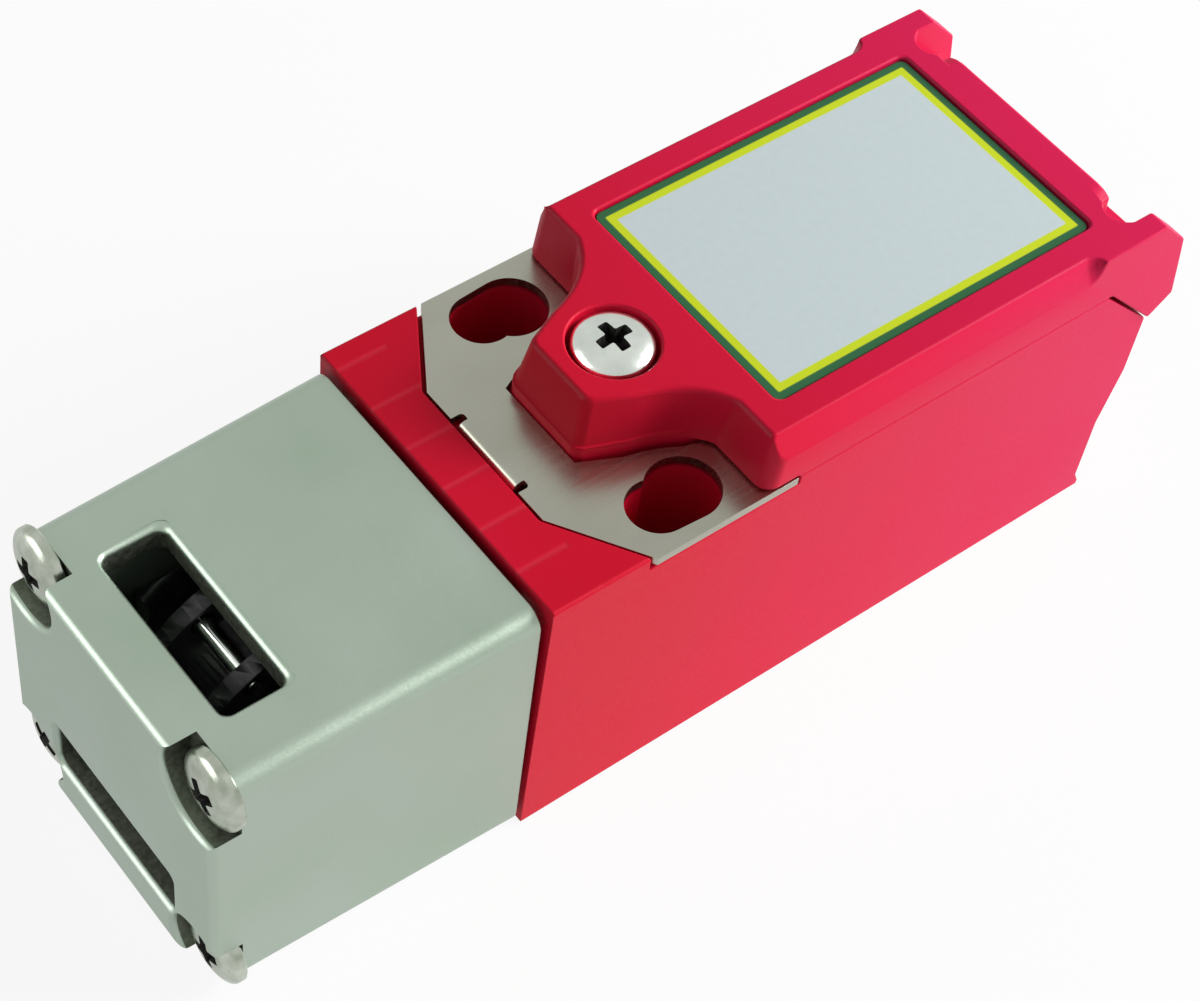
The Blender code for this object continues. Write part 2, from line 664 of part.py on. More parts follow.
def plate_outline(grow=0.0):
    """Half outline of the plate from its front middle to its rear middle, on the +Y side."""
    front, rear = along(PLATE_FRONT) - grow, along(PLATE_REAR) + grow
    half = PLATE_HALF + grow * 5
    slope = (PLATE_HALF - PLATE_NOSE_HALF) / PLATE_CHAMFER
    nose = PLATE_NOSE_HALF + grow * (math.hypot(1, slope) - slope)
    return [(front, nose), (front + (half - nose) / slope, half), (rear, half)]


def body():
    rear, front = BODY_REAR, BODY_FRONT
    step = along(PLATE_REAR) - 3 * MM
    profile = [
        (front, 0), (rear - 0.5 * MM, 0), (rear - 0.5 * MM, 0.5 * MM), (rear - 1.0 * MM, 1.5 * MM),
        (rear - 1.0 * MM, 8.0 * MM), (rear, 13.6 * MM), (rear, RIM_Z), (step, RIM_Z), (step, STRIP_Z),
        (front, STRIP_Z),
    ]
    shell = flat("body", [profile], "Y", -WIDTH / 2, WIDTH / 2, RED)
    place = shell.matrix_world
    for vertex in shell.data.vertices:
        point = place @ vertex.co
        point.y *= 1 + BODY_DRAFT / (WIDTH / 2) * point.z / RIM_Z
        vertex.co = place.inverted() @ point
    bevel = shell.modifiers.new("Soft edges", "BEVEL")
    bevel.limit_method = "ANGLE"
    bevel.angle_limit = math.radians(40)
    bevel.width = BODY_EDGE
    bevel.segments = 2

    half = plate_outline(0.2 * MM)
    recess = half + mirrored(half)
    cut(shell, flat("plate recess", [recess], "Z", PLATE_TOP - PLATE_THICKNESS - GAP, STRIP_Z + 1 * MM))
    cut(shell, flat(
        "tab slot", [rectangle(
            (along(PLATE_FRONT) - GAP, -TAB_HALF - GAP),
            (along(PLATE_FRONT) + PLATE_THICKNESS + GAP + BEND_RADIUS / 2, TAB_HALF + GAP),
        )], "Z", PLATE_TOP - TAB_DEPTH - GAP, STRIP_Z + 1 * MM,
    ))
    chamber = rectangle((along(CHAMBER_FRONT), -CHAMBER_HALF), (CHAMBER_REAR, CHAMBER_HALF), 1.0 * MM)
    cut(shell, flat("chamber", [chamber], "Z", FLOOR, STRIP_Z + 1 * MM))
    cut(shell, flat(
        "lid gasket groove", [gasket_outline(1.45 * MM), gasket_outline(0.35 * MM)], "Z",
        RIM_Z - 1.0 * MM, STRIP_Z + 1 * MM,
    ))
    for side, name in ((1, "left"), (-1, "right")):
        cut(shell, flat("fixing hole " + name, [pear(side)], "Z", -1 * MM, STRIP_Z + 1 * MM))
        seam, drop = along(EAR_SEAM) - 0.2 * MM, 6.0 * MM
        wedge = [
            (seam - 1.5 * MM, RIM_Z + 1.5 * MM), (seam + drop, RIM_Z - drop), (rear + 1 * MM, RIM_Z - drop),
            (rear + 1 * MM, RIM_Z + 1.5 * MM),
        ]
        inner, outer = sorted((side * (EAR_INNER - GAP), side * WIDTH))
        cut(shell, flat("ear seat " + name, [wedge], "Y", inner, outer))
    for spot, y, z, _ in SCREW_SPOTS:
        cut(shell, rod(
            "body hole " + spot, SCREW_SHANK_RADIUS + 0.25 * MM, "X",
            HEAD_REAR, along(SCREW_GRIP + 0.4 * MM), (y, z), vertices=20,
        ))
    cut(shell, flat(
        "head gasket groove", [cross(1.2 * MM), cross(0.3 * MM)], "X", HEAD_REAR, along(1.1 * MM),
    ))
    cut(shell, rod(
        "plunger bore", PLUNGER_RADIUS + GAP, "X", HEAD_REAR, along(CHAMBER_FRONT + 1 * MM), (0, MID_Z),
    ))
    cut(shell, rod(
        "bush seat", BUSH_RADIUS + GAP, "X", HEAD_REAR, along(0.4 * MM + BUSH_LENGTH) + GAP, (0, MID_Z),
    ))
    cut(shell, rod(
        "insert seat", INSERT_RADIUS + GAP, "Z", INSERT_BOTTOM - GAP, STRIP_Z + 1 * MM,
        (along(LID_SCREW_AT), 0),
    ))
    cut(shell, rod(
        "cable bore", INLET_RADIUS, "X", CHAMBER_REAR - 1 * MM, rear + 1 * MM, (0, INLET_Z), vertices=40,
    ))
    cut(shell, rod(
        "cable face", INLET_RADIUS + 0.8 * MM, "X", rear - 1.0 * MM, rear + 1 * MM, (0, INLET_Z), vertices=40,
    ))


def gasket_outline(distance):
    """Rounded outline around the chamber at this distance from its wall."""
    return rectangle(
        (along(CHAMBER_FRONT) - distance, -CHAMBER_HALF - distance),
        (CHAMBER_REAR + distance, CHAMBER_HALF + distance), 1.0 * MM + distance,
    )


def body_fittings():
    top = RIM_Z + 0.05 * MM
    rings = [gasket_outline(1.2 * MM), gasket_outline(0.6 * MM)]
    flat("lid_gasket", rings, "Z", top - 0.75 * MM, top, RUBBER)
    spot = (along(LID_SCREW_AT), 0)
    insert_top = INSERT_BOTTOM + INSERT_LENGTH - 0.05 * MM
    insert = rod("lid_insert", INSERT_RADIUS, "Z", INSERT_BOTTOM, insert_top, spot, BRASS)
    cut(insert, rod("insert bore", SCREW_SHANK_RADIUS + 0.35 * MM, "Z", 0, STRIP_Z, spot, vertices=24))

    inside = CHAMBER_REAR - GAP
    end = BODY_REAR - 0.5 * MM
    barrel, flange = INLET_RADIUS - GAP, INLET_RADIUS + 0.7 * MM
    profile = [
        (0, end - inside), (barrel, end - inside), (barrel, 0), (flange, 0), (flange, -0.8 * MM),
        (0, -0.8 * MM),
    ]
    grommet = turned("cable_grommet", profile, (inside, 0, INLET_Z), (1, 0, 0), RUBBER, steps=36)
    cut(grommet, rod(
        "grommet bore", CABLE_RADIUS, "X", inside - 2 * MM, BODY_REAR + 1 * MM, (0, INLET_Z), vertices=36,
    ))


# Mounting plate and lid


def bow(start, pull, end, steps=6):
    """Points on a curve from start to end that leans towards the pull point."""
    points = []
    for step in range(steps + 1):
        t = step / steps
        weights = ((1 - t) ** 2, 2 * t * (1 - t), t**2)
        points.append(tuple(sum(w * p[i] for w, p in zip(weights, (start, pull, end))) for i in (0, 1)))
    return points


LID_SIDE = LID_HALF / MM
BOSS_TOP = [(9.9, 2.9)] + bow((12.6, 4.35), (17.0, 5.6), (18.1, LID_SIDE - 3.85))
BOSS_FOOT = [(9.0, 3.45)] + bow((12.0, 4.85), (17.0, 6.0), (17.5, LID_SIDE - 4.45))
FOOT_END = (17.5, LID_SIDE - 6.15)
FOOT_SIDE = [point for point in BOSS_FOOT if point[1] < FOOT_END[1] - 0.3]
EAR_PROFILE = [(-1.6, 0.0), (1.0, -2.7), (1.5, -5.7), (2.0, -8.9), (0.0, -10.5)]


def placed(points, side=1, ahead=0.0, aside=0.0):
    """Points given in millimetres behind the body front, on one side, moved outwards if asked."""
    return [(along(x * MM) - ahead, side * (y * MM + aside)) for x, y in points]


def symmetric(points, ahead=0.0, aside=0.0):
    return placed(points, 1, ahead, aside) + placed(points[::-1], -1, ahead, aside)


def mounting_plate():
    half = plate_outline()
    outline = half + mirrored(half)
    boss_hole = symmetric(FOOT_SIDE, 0.3 * MM, 0.35 * MM)
    last = (along(FOOT_END[0] * MM) + 0.35 * MM, FOOT_END[1] * MM + 0.35 * MM)
    middle = len(boss_hole) // 2
    boss_hole = boss_hole[:middle] + [last, (last[0], -last[1])] + boss_hole[middle:]
    low, high = PLATE_TOP - PLATE_THICKNESS, PLATE_TOP
    plate = flat("mounting_plate", [outline, boss_hole, pear(1), pear(-1)], "Z", low, high, STAINLESS)
    front = along(PLATE_FRONT)
    cut(plate, box(
        "tab relief", (front - 1 * MM, -TAB_HALF - TAB_RELIEF, low - 1 * MM),
        (front + BEND_RADIUS + 0.15 * MM, TAB_HALF + TAB_RELIEF, high + 1 * MM),
    ))
    hub = (front + BEND_RADIUS, PLATE_TOP - BEND_RADIUS)
    join_at = front + BEND_RADIUS + 0.6 * MM
    tab = [(join_at, high)] + arc(hub, BEND_RADIUS, math.pi / 2, math.pi, 5)
    tab += [(front, high - TAB_DEPTH), (front + PLATE_THICKNESS, high - TAB_DEPTH)]
    tab += arc(hub, BEND_RADIUS - PLATE_THICKNESS, math.pi, math.pi / 2, 4) + [(join_at, low)]
    join(plate, flat("tab", [tab], "Y", -TAB_HALF, TAB_HALF))


def lid():
    foot = PLATE_TOP + 0.2 * MM
    step = along(PLATE_REAR) + 0.1 * MM
    profile = [(along(LID_FRONT_FOOT), foot), (along(LID_FRONT_TOP), LID_TOP)]
    profile += [(BODY_REAR + x * MM, LID_TOP + z * MM) for x, z in EAR_PROFILE]
    profile += [(along(EAR_SEAM), LID_BOTTOM), (step, LID_BOTTOM), (step, foot)]
    cover = flat("lid", [profile], "Y", -LID_HALF, LID_HALF, RED)
    top_ring = [(x, y, LID_TOP) for x, y in symmetric(BOSS_TOP)]
    foot_ring = [(x, y, foot) for x, y in symmetric(BOSS_FOOT)]
    join(cover, loft("lid boss", [foot_ring, top_ring]))
    foot_outline = symmetric(FOOT_SIDE + [FOOT_END])
    join(cover, flat("lid foot", [foot_outline], "Z", LID_FOOT_Z, LID_BOTTOM + 1 * MM))

    rear = along(LID_REAR)
    shelf = LID_BOTTOM + 1.0 * MM
    between = [
        (rear, LID_TOP + 2 * MM), (rear, LID_TOP), (rear + 0.3 * MM, LID_TOP - 0.4 * MM),
        (rear + 0.5 * MM, shelf),
        (BODY_REAR - 0.3 * MM, shelf), (BODY_REAR - 0.3 * MM, LID_BOTTOM), (along(EAR_SEAM), LID_BOTTOM),
        (along(EAR_SEAM), INSERT_BOTTOM - 2 * MM), (BODY_REAR + 3 * MM, INSERT_BOTTOM - 2 * MM),
        (BODY_REAR + 3 * MM, LID_TOP + 2 * MM),
    ]
    cut(cover, flat("between the ears", [between], "Y", -EAR_INNER, EAR_INNER))
    scallop = [
        (1.5, 3.0), (-0.1, 2.9), (-0.9, 2.4), (-1.4, 1.7), (-1.55, 1.0), (-1.35, 0.4), (-0.8, 0.0),
        (1.5, 0.0),
    ]
    scallop = [(rear + x * MM, EAR_INNER - inward * MM) for x, inward in scallop]
    drop = LID_CHAMFER_DROP
    slant = LID_HALF - LID_FLAT_HALF
    for side, name in ((1, "left"), (-1, "right")):
        outline = scallop if side > 0 else mirrored(scallop)
        cut(cover, flat("scallop " + name, [outline], "Z", shelf, LID_TOP + 2 * MM))
        slope = [(4.3, 0.0), (4.3, 1.0), (1.8, 1.0), (1.8, -1.2)]
        slope = [(side * (EAR_INNER - inward * MM), LID_TOP + z * MM) for inward, z in slope]
        cut(cover, flat("corner slope " + name, [slope], "X", rear - 0.9 * MM, rear + 1.1 * MM))
        wedge = [
            (LID_FLAT_HALF - slant / 2, LID_TOP + drop / 2), (LID_HALF + slant / 2, LID_TOP - drop * 1.5),
            (LID_HALF + 2 * MM, LID_TOP - drop * 1.5), (LID_HALF + 2 * MM, LID_TOP + drop / 2),
        ]
        wedge = [(side * y, z) for y, z in wedge]
        end = along(LID_CHAMFER_END)
        cut(cover, flat("edge chamfer " + name, [wedge], "X", along(8 * MM), end))
        down = Vector((0, side * slant, -drop)).normalized()
        out = Vector((0, side * drop, slant)).normalized()
        middle = Vector((end, side * (LID_HALF + LID_FLAT_HALF) / 2, LID_TOP - drop / 2))
        start = middle + out * LID_CHAMFER_SWEEP - down * 3 * MM
        sweep = LID_CHAMFER_SWEEP
        cut(cover, turned(
            "chamfer end " + name, [(0, 6 * MM), (sweep, 6 * MM), (sweep, 0), (0, 0)], start, down,
        ))

    pocket = rectangle(
        (along(CHAMBER_FRONT) + GAP, -CHAMBER_HALF), (along(EAR_SEAM) - 0.8 * MM, CHAMBER_HALF), 1 * MM,
    )
    cut(cover, flat("lid pocket", [pocket], "Z", LID_BOTTOM - 1 * MM, LID_TOP - 1.8 * MM))
    edge = 0.1 * MM
    recess = rectangle(
        (along(LABEL_FRONT) - edge, -LABEL_HALF - edge), (along(LABEL_REAR) + edge, LABEL_HALF + edge),
        0.7 * MM,
    )
    floor = LID_TOP - LABEL_DEPTH - 0.1 * MM
    cut(cover, flat("label recess", [recess], "Z", floor, LID_TOP + 1 * MM))
    spot = (along(LID_SCREW_AT), 0)
    cut(cover, rod(
        "lid hole", SCREW_SHANK_RADIUS + 0.35 * MM, "Z", INSERT_BOTTOM, LID_TOP + 1 * MM, spot, vertices=24,
    ))
    seat = LID_SCREW_SEAT - SCREW_SEAT_GAP
    cut(cover, rod("counterbore", COUNTERBORE_RADIUS, "Z", seat, LID_TOP + 1 * MM, spot, vertices=40))

    face = rectangle(
        (along(LABEL_FRONT) + edge, -LABEL_HALF + edge), (along(LABEL_REAR) - edge, LABEL_HALF - edge),
        0.6 * MM,
    )
    label = flat("label", [face], "Z", floor + edge, floor + edge + 0.2 * MM, LABEL)
    bolt = screw_piece(
        "lid_screw", (spot[0], spot[1], LID_SCREW_SEAT), (0, 0, 1),
        (SCREW_HEAD_RADIUS, LID_SCREW_HEIGHT, LID_SCREW_SIDE),
        (SCREW_SHANK_RADIUS, LID_SCREW_SEAT - INSERT_BOTTOM - 0.4 * MM), STEEL,
    )
    pivot("lid hinge", (along(HINGE[0]), 0, HINGE[1]), cover, label, bolt)


# Contact block, seen from the plunger backwards

WINDOW_A = CARRIER_FRONT + WINDOW_FROM_FRONT
WINDOW_B = WINDOW_A + WINDOW_LENGTH + WINDOW_BAR
BRIDGE_A = WINDOW_A + GAP
BRIDGE_B = WINDOW_B + WINDOW_LENGTH - GAP - BRIDGE_THICKNESS
BLADE_A = BRIDGE_A - GAP - STROKE - BLADE_THICKNESS
BLADE_B = BRIDGE_B + BRIDGE_THICKNESS + GAP
CARRIER_END = CARRIER_FRONT + CARRIER_LENGTH
BLOCK_END = CHAMBER_FRONT + GAP + BLOCK_LENGTH
CHANNEL_END = BLOCK_END - 1.6 * MM
CHANNEL_FLOOR = MID_Z - CARRIER_HEIGHT / 2 - GAP
TERMINAL_A = BLADE_A + BLADE_THICKNESS - PAD_LENGTH + 1.5 * MM
TERMINAL_B = BLADE_B + PAD_LENGTH - 1.5 * MM


def contact_block():
    block = box(
        "contact_block", (BLOCK_FRONT, -BLOCK_HALF, BLOCK_BOTTOM), (along(BLOCK_END), BLOCK_HALF, BLOCK_TOP),
        BLACK,
    )
    above = BLOCK_TOP + 1 * MM
    cut(block, box(
        "carrier channel", (BLOCK_FRONT - 1 * MM, -CHANNEL_HALF, CHANNEL_FLOOR),
        (along(CHANNEL_END), CHANNEL_HALF, above),
    ))
    low = MID_Z - BRIDGE_HEIGHT / 2 - 0.8 * MM
    cut(block, box(
        "contact pocket", (along(BLADE_A) - GAP, -BLADE_OUTER - GAP, low),
        (along(BLADE_B) + BLADE_THICKNESS + GAP, BLADE_OUTER + GAP, above),
    ))
    for spot, place in (("front", TERMINAL_A), ("rear", TERMINAL_B)):
        for side, name in ((1, "left"), (-1, "right")):
            cut(block, rod(
                "terminal hole %s %s" % (spot, name), 1.2 * MM, "Z", MID_Z, above,
                (along(place), side * TERMINAL_Y), vertices=20,
            ))


def contact_carrier():
    slide = box(
        "contact_carrier", (along(CARRIER_FRONT), -CARRIER_HALF, MID_Z - CARRIER_HEIGHT / 2),
        (along(CARRIER_END), CARRIER_HALF, MID_Z + CARRIER_HEIGHT / 2), CREAM,
    )
    for start, name in ((WINDOW_A, "front"), (WINDOW_B, "rear")):
        cut(slide, box(
            "carrier window " + name, (along(start), -BLOCK_HALF, MID_Z - WINDOW_HEIGHT / 2),
            (along(start + WINDOW_LENGTH), BLOCK_HALF, MID_Z + WINDOW_HEIGHT / 2),
        ))
    for start, name in ((BRIDGE_A, "front"), (BRIDGE_B, "rear")):
        box(
            "contact_bridge_" + name, (along(start), -BRIDGE_HALF, MID_Z - BRIDGE_HEIGHT / 2),
            (along(start + BRIDGE_THICKNESS), BRIDGE_HALF, MID_Z + BRIDGE_HEIGHT / 2), SILVER,
        )
    ends = (
        ("front", BRIDGE_A + BRIDGE_THICKNESS + GAP, WINDOW_A + WINDOW_LENGTH - GAP),
        ("rear", WINDOW_B + GAP, BRIDGE_B - GAP),
    )
    for name, start, end in ends:
        spring(
            "bridge_spring_" + name, along(start), along(end), (0, MID_Z), BRIDGE_COIL, BRIDGE_WIRE, 2.5,
            STEEL,
        )
    spring(
        "return_spring", along(CARRIER_END) + GAP, along(CHANNEL_END) - GAP, (0, MID_Z),
        RETURN_COIL, RETURN_WIRE, 4, STEEL,
    )


def terminals():
    pad_low = BLOCK_TOP + GAP
    pad_high = pad_low + PAD_THICKNESS
    low = MID_Z - BRIDGE_HEIGHT / 2 - 0.5 * MM
    rows = (
        ("front", BLADE_A, BLADE_A + BLADE_THICKNESS, BLADE_A + BLADE_THICKNESS - PAD_LENGTH, TERMINAL_A),
        ("rear", BLADE_B + BLADE_THICKNESS, BLADE_B, BLADE_B + PAD_LENGTH, TERMINAL_B),
    )
    for spot, inside, outside, pad_end, hole in rows:
        profile = [
            (pad_end, pad_low), (inside, pad_low), (inside, low), (outside, low), (outside, pad_high),
            (pad_end, pad_high),
        ]
        profile = [(along(x), z) for x, z in profile]
        for side, name in ((1, "left"), (-1, "right")):
            inner, outer = sorted((side * BLADE_INNER, side * BLADE_OUTER))
            piece = flat("terminal_%s_%s" % (spot, name), [profile], "Y", inner, outer, BRASS)
            place = (along(hole), side * TERMINAL_Y)
            cut(piece, rod(
                "pad hole %s %s" % (spot, name), 1.2 * MM, "Z", pad_low - 1 * MM, STRIP_Z, place, vertices=20,
            ))
            screw_piece(
                "terminal_screw_%s_%s" % (spot, name), (place[0], place[1], pad_high + 0.15 * MM), (0, 0, 1),
                (1.6 * MM, 1.3 * MM, 0.4 * MM), (0.9 * MM, 4.0 * MM), STEEL, steps=18,
            )


head_shell()
head_fixings()
cam_carrier()
key_cam()
plunger()
body()
body_fittings()
mounting_plate()
lid()
contact_block()
contact_carrier()
terminals()
bpy.context.view_layer.update()
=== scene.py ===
"""Looks of a safety interlock switch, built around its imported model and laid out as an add-on."""

import json
import math

import bmesh
import bpy
from bpy.props import FloatProperty, FloatVectorProperty, PointerProperty
from mathutils import Matrix, Vector

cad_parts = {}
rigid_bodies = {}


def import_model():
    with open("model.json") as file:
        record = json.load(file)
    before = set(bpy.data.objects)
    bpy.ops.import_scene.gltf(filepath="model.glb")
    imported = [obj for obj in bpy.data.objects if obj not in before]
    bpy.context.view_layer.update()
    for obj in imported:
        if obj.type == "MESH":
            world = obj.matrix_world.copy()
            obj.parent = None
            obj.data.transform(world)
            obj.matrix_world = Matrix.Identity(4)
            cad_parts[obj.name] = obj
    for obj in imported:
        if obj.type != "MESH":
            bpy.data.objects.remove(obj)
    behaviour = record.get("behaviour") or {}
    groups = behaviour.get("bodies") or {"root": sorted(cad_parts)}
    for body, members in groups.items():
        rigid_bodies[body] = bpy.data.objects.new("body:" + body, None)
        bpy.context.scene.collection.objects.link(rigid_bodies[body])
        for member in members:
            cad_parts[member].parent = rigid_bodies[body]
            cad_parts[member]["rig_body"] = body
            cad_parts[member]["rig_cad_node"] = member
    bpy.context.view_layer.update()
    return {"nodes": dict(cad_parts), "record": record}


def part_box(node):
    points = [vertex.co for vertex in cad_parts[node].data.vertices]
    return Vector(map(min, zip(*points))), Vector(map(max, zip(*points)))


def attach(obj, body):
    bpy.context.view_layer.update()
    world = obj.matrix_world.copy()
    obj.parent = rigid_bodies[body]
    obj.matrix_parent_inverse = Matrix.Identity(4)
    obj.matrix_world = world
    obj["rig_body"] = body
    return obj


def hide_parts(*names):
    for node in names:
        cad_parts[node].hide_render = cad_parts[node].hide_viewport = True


bl_info = {
    "name": "Safety interlock switch",
    "version": (1, 0, 0),
    "blender": (4, 5, 0),
    "location": "3D Viewport > Sidebar > Switch",
    "description": "Dresses the packed interlock switch with modelled pieces and procedural finishes",
    "category": "Object",
}

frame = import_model()
NODES = frame["nodes"]

MM = 0.001
HEAD_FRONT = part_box("head_shell")[0].x
BODY_LOW, BODY_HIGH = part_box("body")
# The film and its recess reach a little past the solid label
LABEL_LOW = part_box("label")[0] - Vector((0.2 * MM, 0.35 * MM, 0))
LABEL_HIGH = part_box("label")[1] + Vector((0.75 * MM, 0.35 * MM, 0))


def along(millimetres):
    """X of a point so far behind the front face of the body moulding."""
    return BODY_LOW.x + millimetres * MM


# Finishes


class Finish:
    """One procedural finish: a shader with its pattern nodes."""

    def __init__(self, colour, metallic, roughness):
        self.material = bpy.data.materials.new("finish")
        self.material.use_nodes = True
        self.tree = self.material.node_tree
        self.shader = self.tree.nodes["Principled BSDF"]
        self.coordinates = self.node("ShaderNodeTexCoord").outputs["Object"]
        self.put("Base Color", (*colour, 1.0))
        self.put("Metallic", metallic)
        self.put("Roughness", roughness)

    def put(self, socket, value):
        self.shader.inputs[socket].default_value = value

    def node(self, kind, **values):
        made = self.tree.nodes.new(kind)
        for key, value in values.items():
            setattr(made, key, value)
        return made

    def link(self, output, socket):
        self.tree.links.new(output, socket)

    def stretched(self, stretch):
        """The coordinates, scaled along each axis."""
        mapping = self.node("ShaderNodeMapping")
        mapping.inputs["Scale"].default_value = stretch
        self.link(self.coordinates, mapping.inputs["Vector"])
        return mapping.outputs["Vector"]

    def noise(self, per_metre, detail=3.0, stretch=(1, 1, 1), distortion=0.0):
        """Noise with so many grains per metre."""
        made = self.node("ShaderNodeTexNoise")
        made.inputs["Scale"].default_value = per_metre
        made.inputs["Detail"].default_value = detail
        made.inputs["Distortion"].default_value = distortion
        self.link(self.stretched(stretch), made.inputs["Vector"])
        return made.outputs["Fac"]

    def spread(self, value, low, high, start=0.3, end=0.7):
        """Maps a pattern from start..end to low..high."""
        made = self.node("ShaderNodeMapRange")
        for socket, number in (("From Min", start), ("From Max", end), ("To Min", low), ("To Max", high)):
            made.inputs[socket].default_value = number
        self.link(value, made.inputs["Value"])
        return made.outputs["Result"]

    def axis(self, letter):
        """One coordinate of the surface."""
        made = self.node("ShaderNodeSeparateXYZ")
        self.link(self.coordinates, made.inputs["Vector"])
        return made.outputs[letter]

    def math(self, operation, *values):
        """A sum over numbers and sockets."""
        made = self.node("ShaderNodeMath", operation=operation)
        for index, value in enumerate(values):
            if isinstance(value, (int, float)):
                made.inputs[index].default_value = value
            else:
                self.link(value, made.inputs[index])
        return made.outputs["Value"]

    def blend(self, factor, first, second):
        """Mixes two colours, each a triple or a socket."""
        made = self.node("ShaderNodeMix", data_type="RGBA")
        self.link(factor, made.inputs["Factor"])
        for socket, value in ((made.inputs[6], first), (made.inputs[7], second)):
            if isinstance(value, tuple):
                socket.default_value = (*value, 1.0)
            else:
                self.link(value, socket)
        return made.outputs[2]

    def colour(self, socket):
        self.link(socket, self.shader.inputs["Base Color"])

    def mottled(self, pattern, dark, pale):
        """Lets the colour drift between two shades."""
        self.colour(self.blend(self.spread(pattern, 0.0, 1.0), dark, pale))

    def roughness(self, socket):
        self.link(socket, self.shader.inputs["Roughness"])

    def uneven(self, cloud, low, high, grain, swing):
        """Lets the roughness drift with a cloud and flicker with a grain."""
        flicker = self.spread(grain, -swing, swing)
        self.roughness(self.math("ADD", self.spread(cloud, low, high), flicker))

    def relief(self, height, depth, strength=1.0):
        """Adds a bump of this depth in metres, on top of any earlier one."""
        bump = self.node("ShaderNodeBump")
        bump.inputs["Strength"].default_value = strength
        bump.inputs["Distance"].default_value = depth
        self.link(height, bump.inputs["Height"])
        normal = self.shader.inputs["Normal"]
        if normal.is_linked:
            self.link(normal.links[0].from_socket, bump.inputs["Normal"])
        self.link(bump.outputs["Normal"], normal)


def cast_metal():
    """Satin die-cast zinc: a fine even grain with faint cloudy patches."""
    made = Finish((0.43, 0.51, 0.43), 1.0, 0.42)
    cloud = made.noise(60, 4)
    grain = made.noise(5200, 2)
    made.mottled(cloud, (0.40, 0.49, 0.395), (0.455, 0.53, 0.46))
    made.uneven(cloud, 0.36, 0.44, grain, 0.03)
    made.relief(grain, 0.012 * MM, 0.5)
    made.relief(made.noise(900, 2), 0.02 * MM, 0.25)
    return made.material


def red_plastic():
    """Red glass-filled nylon: spark-eroded grain, uneven gloss, and a painted sheen that pales the colour
    to the rear.
    """
    made = Finish((0.68, 0.006, 0.038), 0.0, 0.45)
    made.put("Specular IOR Level", 0.12)
    cloud = made.noise(45, 3)
    grain = made.noise(3600, 2)
    made.uneven(cloud, 0.40, 0.48, grain, 0.04)
    made.relief(grain, 0.018 * MM, 0.5)
    made.relief(made.noise(260, 2), 0.03 * MM, 0.2)
    near = made.blend(made.spread(cloud, 0.0, 1.0), (0.65, 0.005, 0.026), (0.71, 0.007, 0.036))
    # Painted sheen: the red pales and turns pinker towards the rear.
    sheen_to_rear = made.spread(made.axis("X"), 0.0, 1.0, along(8), along(60))
    return made, made.blend(sheen_to_rear, near, (0.70, 0.014, 0.095))


def moulded_red():
    """The plain red of the lid."""
    made, red = red_plastic()
    made.colour(red)
    return made.material


def lined_red():
    """The red of the body, with fine pale mould lines across its front strip."""
    sizes = bpy.context.scene.switch_body
    made, red = red_plastic()
    pitches = made.math("DIVIDE", made.math("SUBTRACT", made.axis("Y"), 11 * MM), sizes.line_pitch)
    turn = made.math("FRACT", made.math("ADD", pitches, 10.5))
    from_line = made.math("ABSOLUTE", made.math("SUBTRACT", turn, 0.5))
    line = made.spread(
        made.math("MULTIPLY", from_line, sizes.line_pitch), 1.0, 0.0, 0.0, sizes.line_width / 2)
    ahead = made.spread(made.axis("X"), 1.0, 0.0, along(4.05), along(4.15))
    strip = BODY_HIGH.z
    high = made.spread(made.axis("Z"), 0.0, 1.0, strip - 0.12 * MM, strip - 0.06 * MM)
    mask = made.math("MULTIPLY", made.math("MULTIPLY", line, ahead), high)
    made.colour(made.blend(made.math("MULTIPLY", mask, sizes.line_strength), red, (0.80, 0.07, 0.11)))
    made.relief(mask, -sizes.line_depth, 0.6)
    return made.material


def rolled_stainless():
    """Warm stainless sheet: fine rolling lines along its length and a few soft smears."""
    made = Finish((0.44, 0.44, 0.37), 1.0, 0.32)
    lines = made.noise(2600, 2, (0.04, 1, 1))
    smear = made.noise(120, 3, (0.5, 1, 1), 0.4)
    made.mottled(smear, (0.41, 0.41, 0.34), (0.47, 0.47, 0.40))
    made.roughness(made.math("ADD", made.spread(lines, 0.24, 0.28), made.spread(smear, -0.02, 0.04)))
    made.relief(lines, 0.001 * MM, 0.25)
    return made.material


def painted_shade_casting():
    """Painted shade: a darker, rougher casting for the walls inside slots and pockets."""
    made = Finish((0.15, 0.165, 0.13), 1.0, 0.55)
    grain = made.noise(3000, 3)
    made.mottled(grain, (0.11, 0.125, 0.095), (0.19, 0.205, 0.165))
    made.roughness(made.spread(grain, 0.5, 0.62))
    made.relief(grain, 0.02 * MM, 0.5)
    return made.material


def plated_steel():
    """Bright plated screws and pins, with faint turning marks."""
    made = Finish((0.78, 0.82, 0.77), 1.0, 0.2)
    marks = made.noise(4200, 2)
    cloud = made.noise(500, 3)
    made.mottled(cloud, (0.70, 0.74, 0.69), (0.84, 0.88, 0.83))
    made.roughness(made.spread(cloud, 0.14, 0.26))
    made.relief(marks, 0.006 * MM, 0.5)
    return made.material


def plating_in_painted_shade():
    """Painted shade: a darker, slightly olive copy of the plating, for the head screws in their pockets."""
    made = Finish((0.48, 0.52, 0.44), 1.0, 0.26)
    marks = made.noise(2600, 3)
    cloud = made.noise(700, 3)
    made.mottled(cloud, (0.36, 0.40, 0.32), (0.60, 0.64, 0.56))
    made.roughness(made.spread(cloud, 0.2, 0.32))
    made.relief(marks, 0.01 * MM, 0.5)
    return made.material


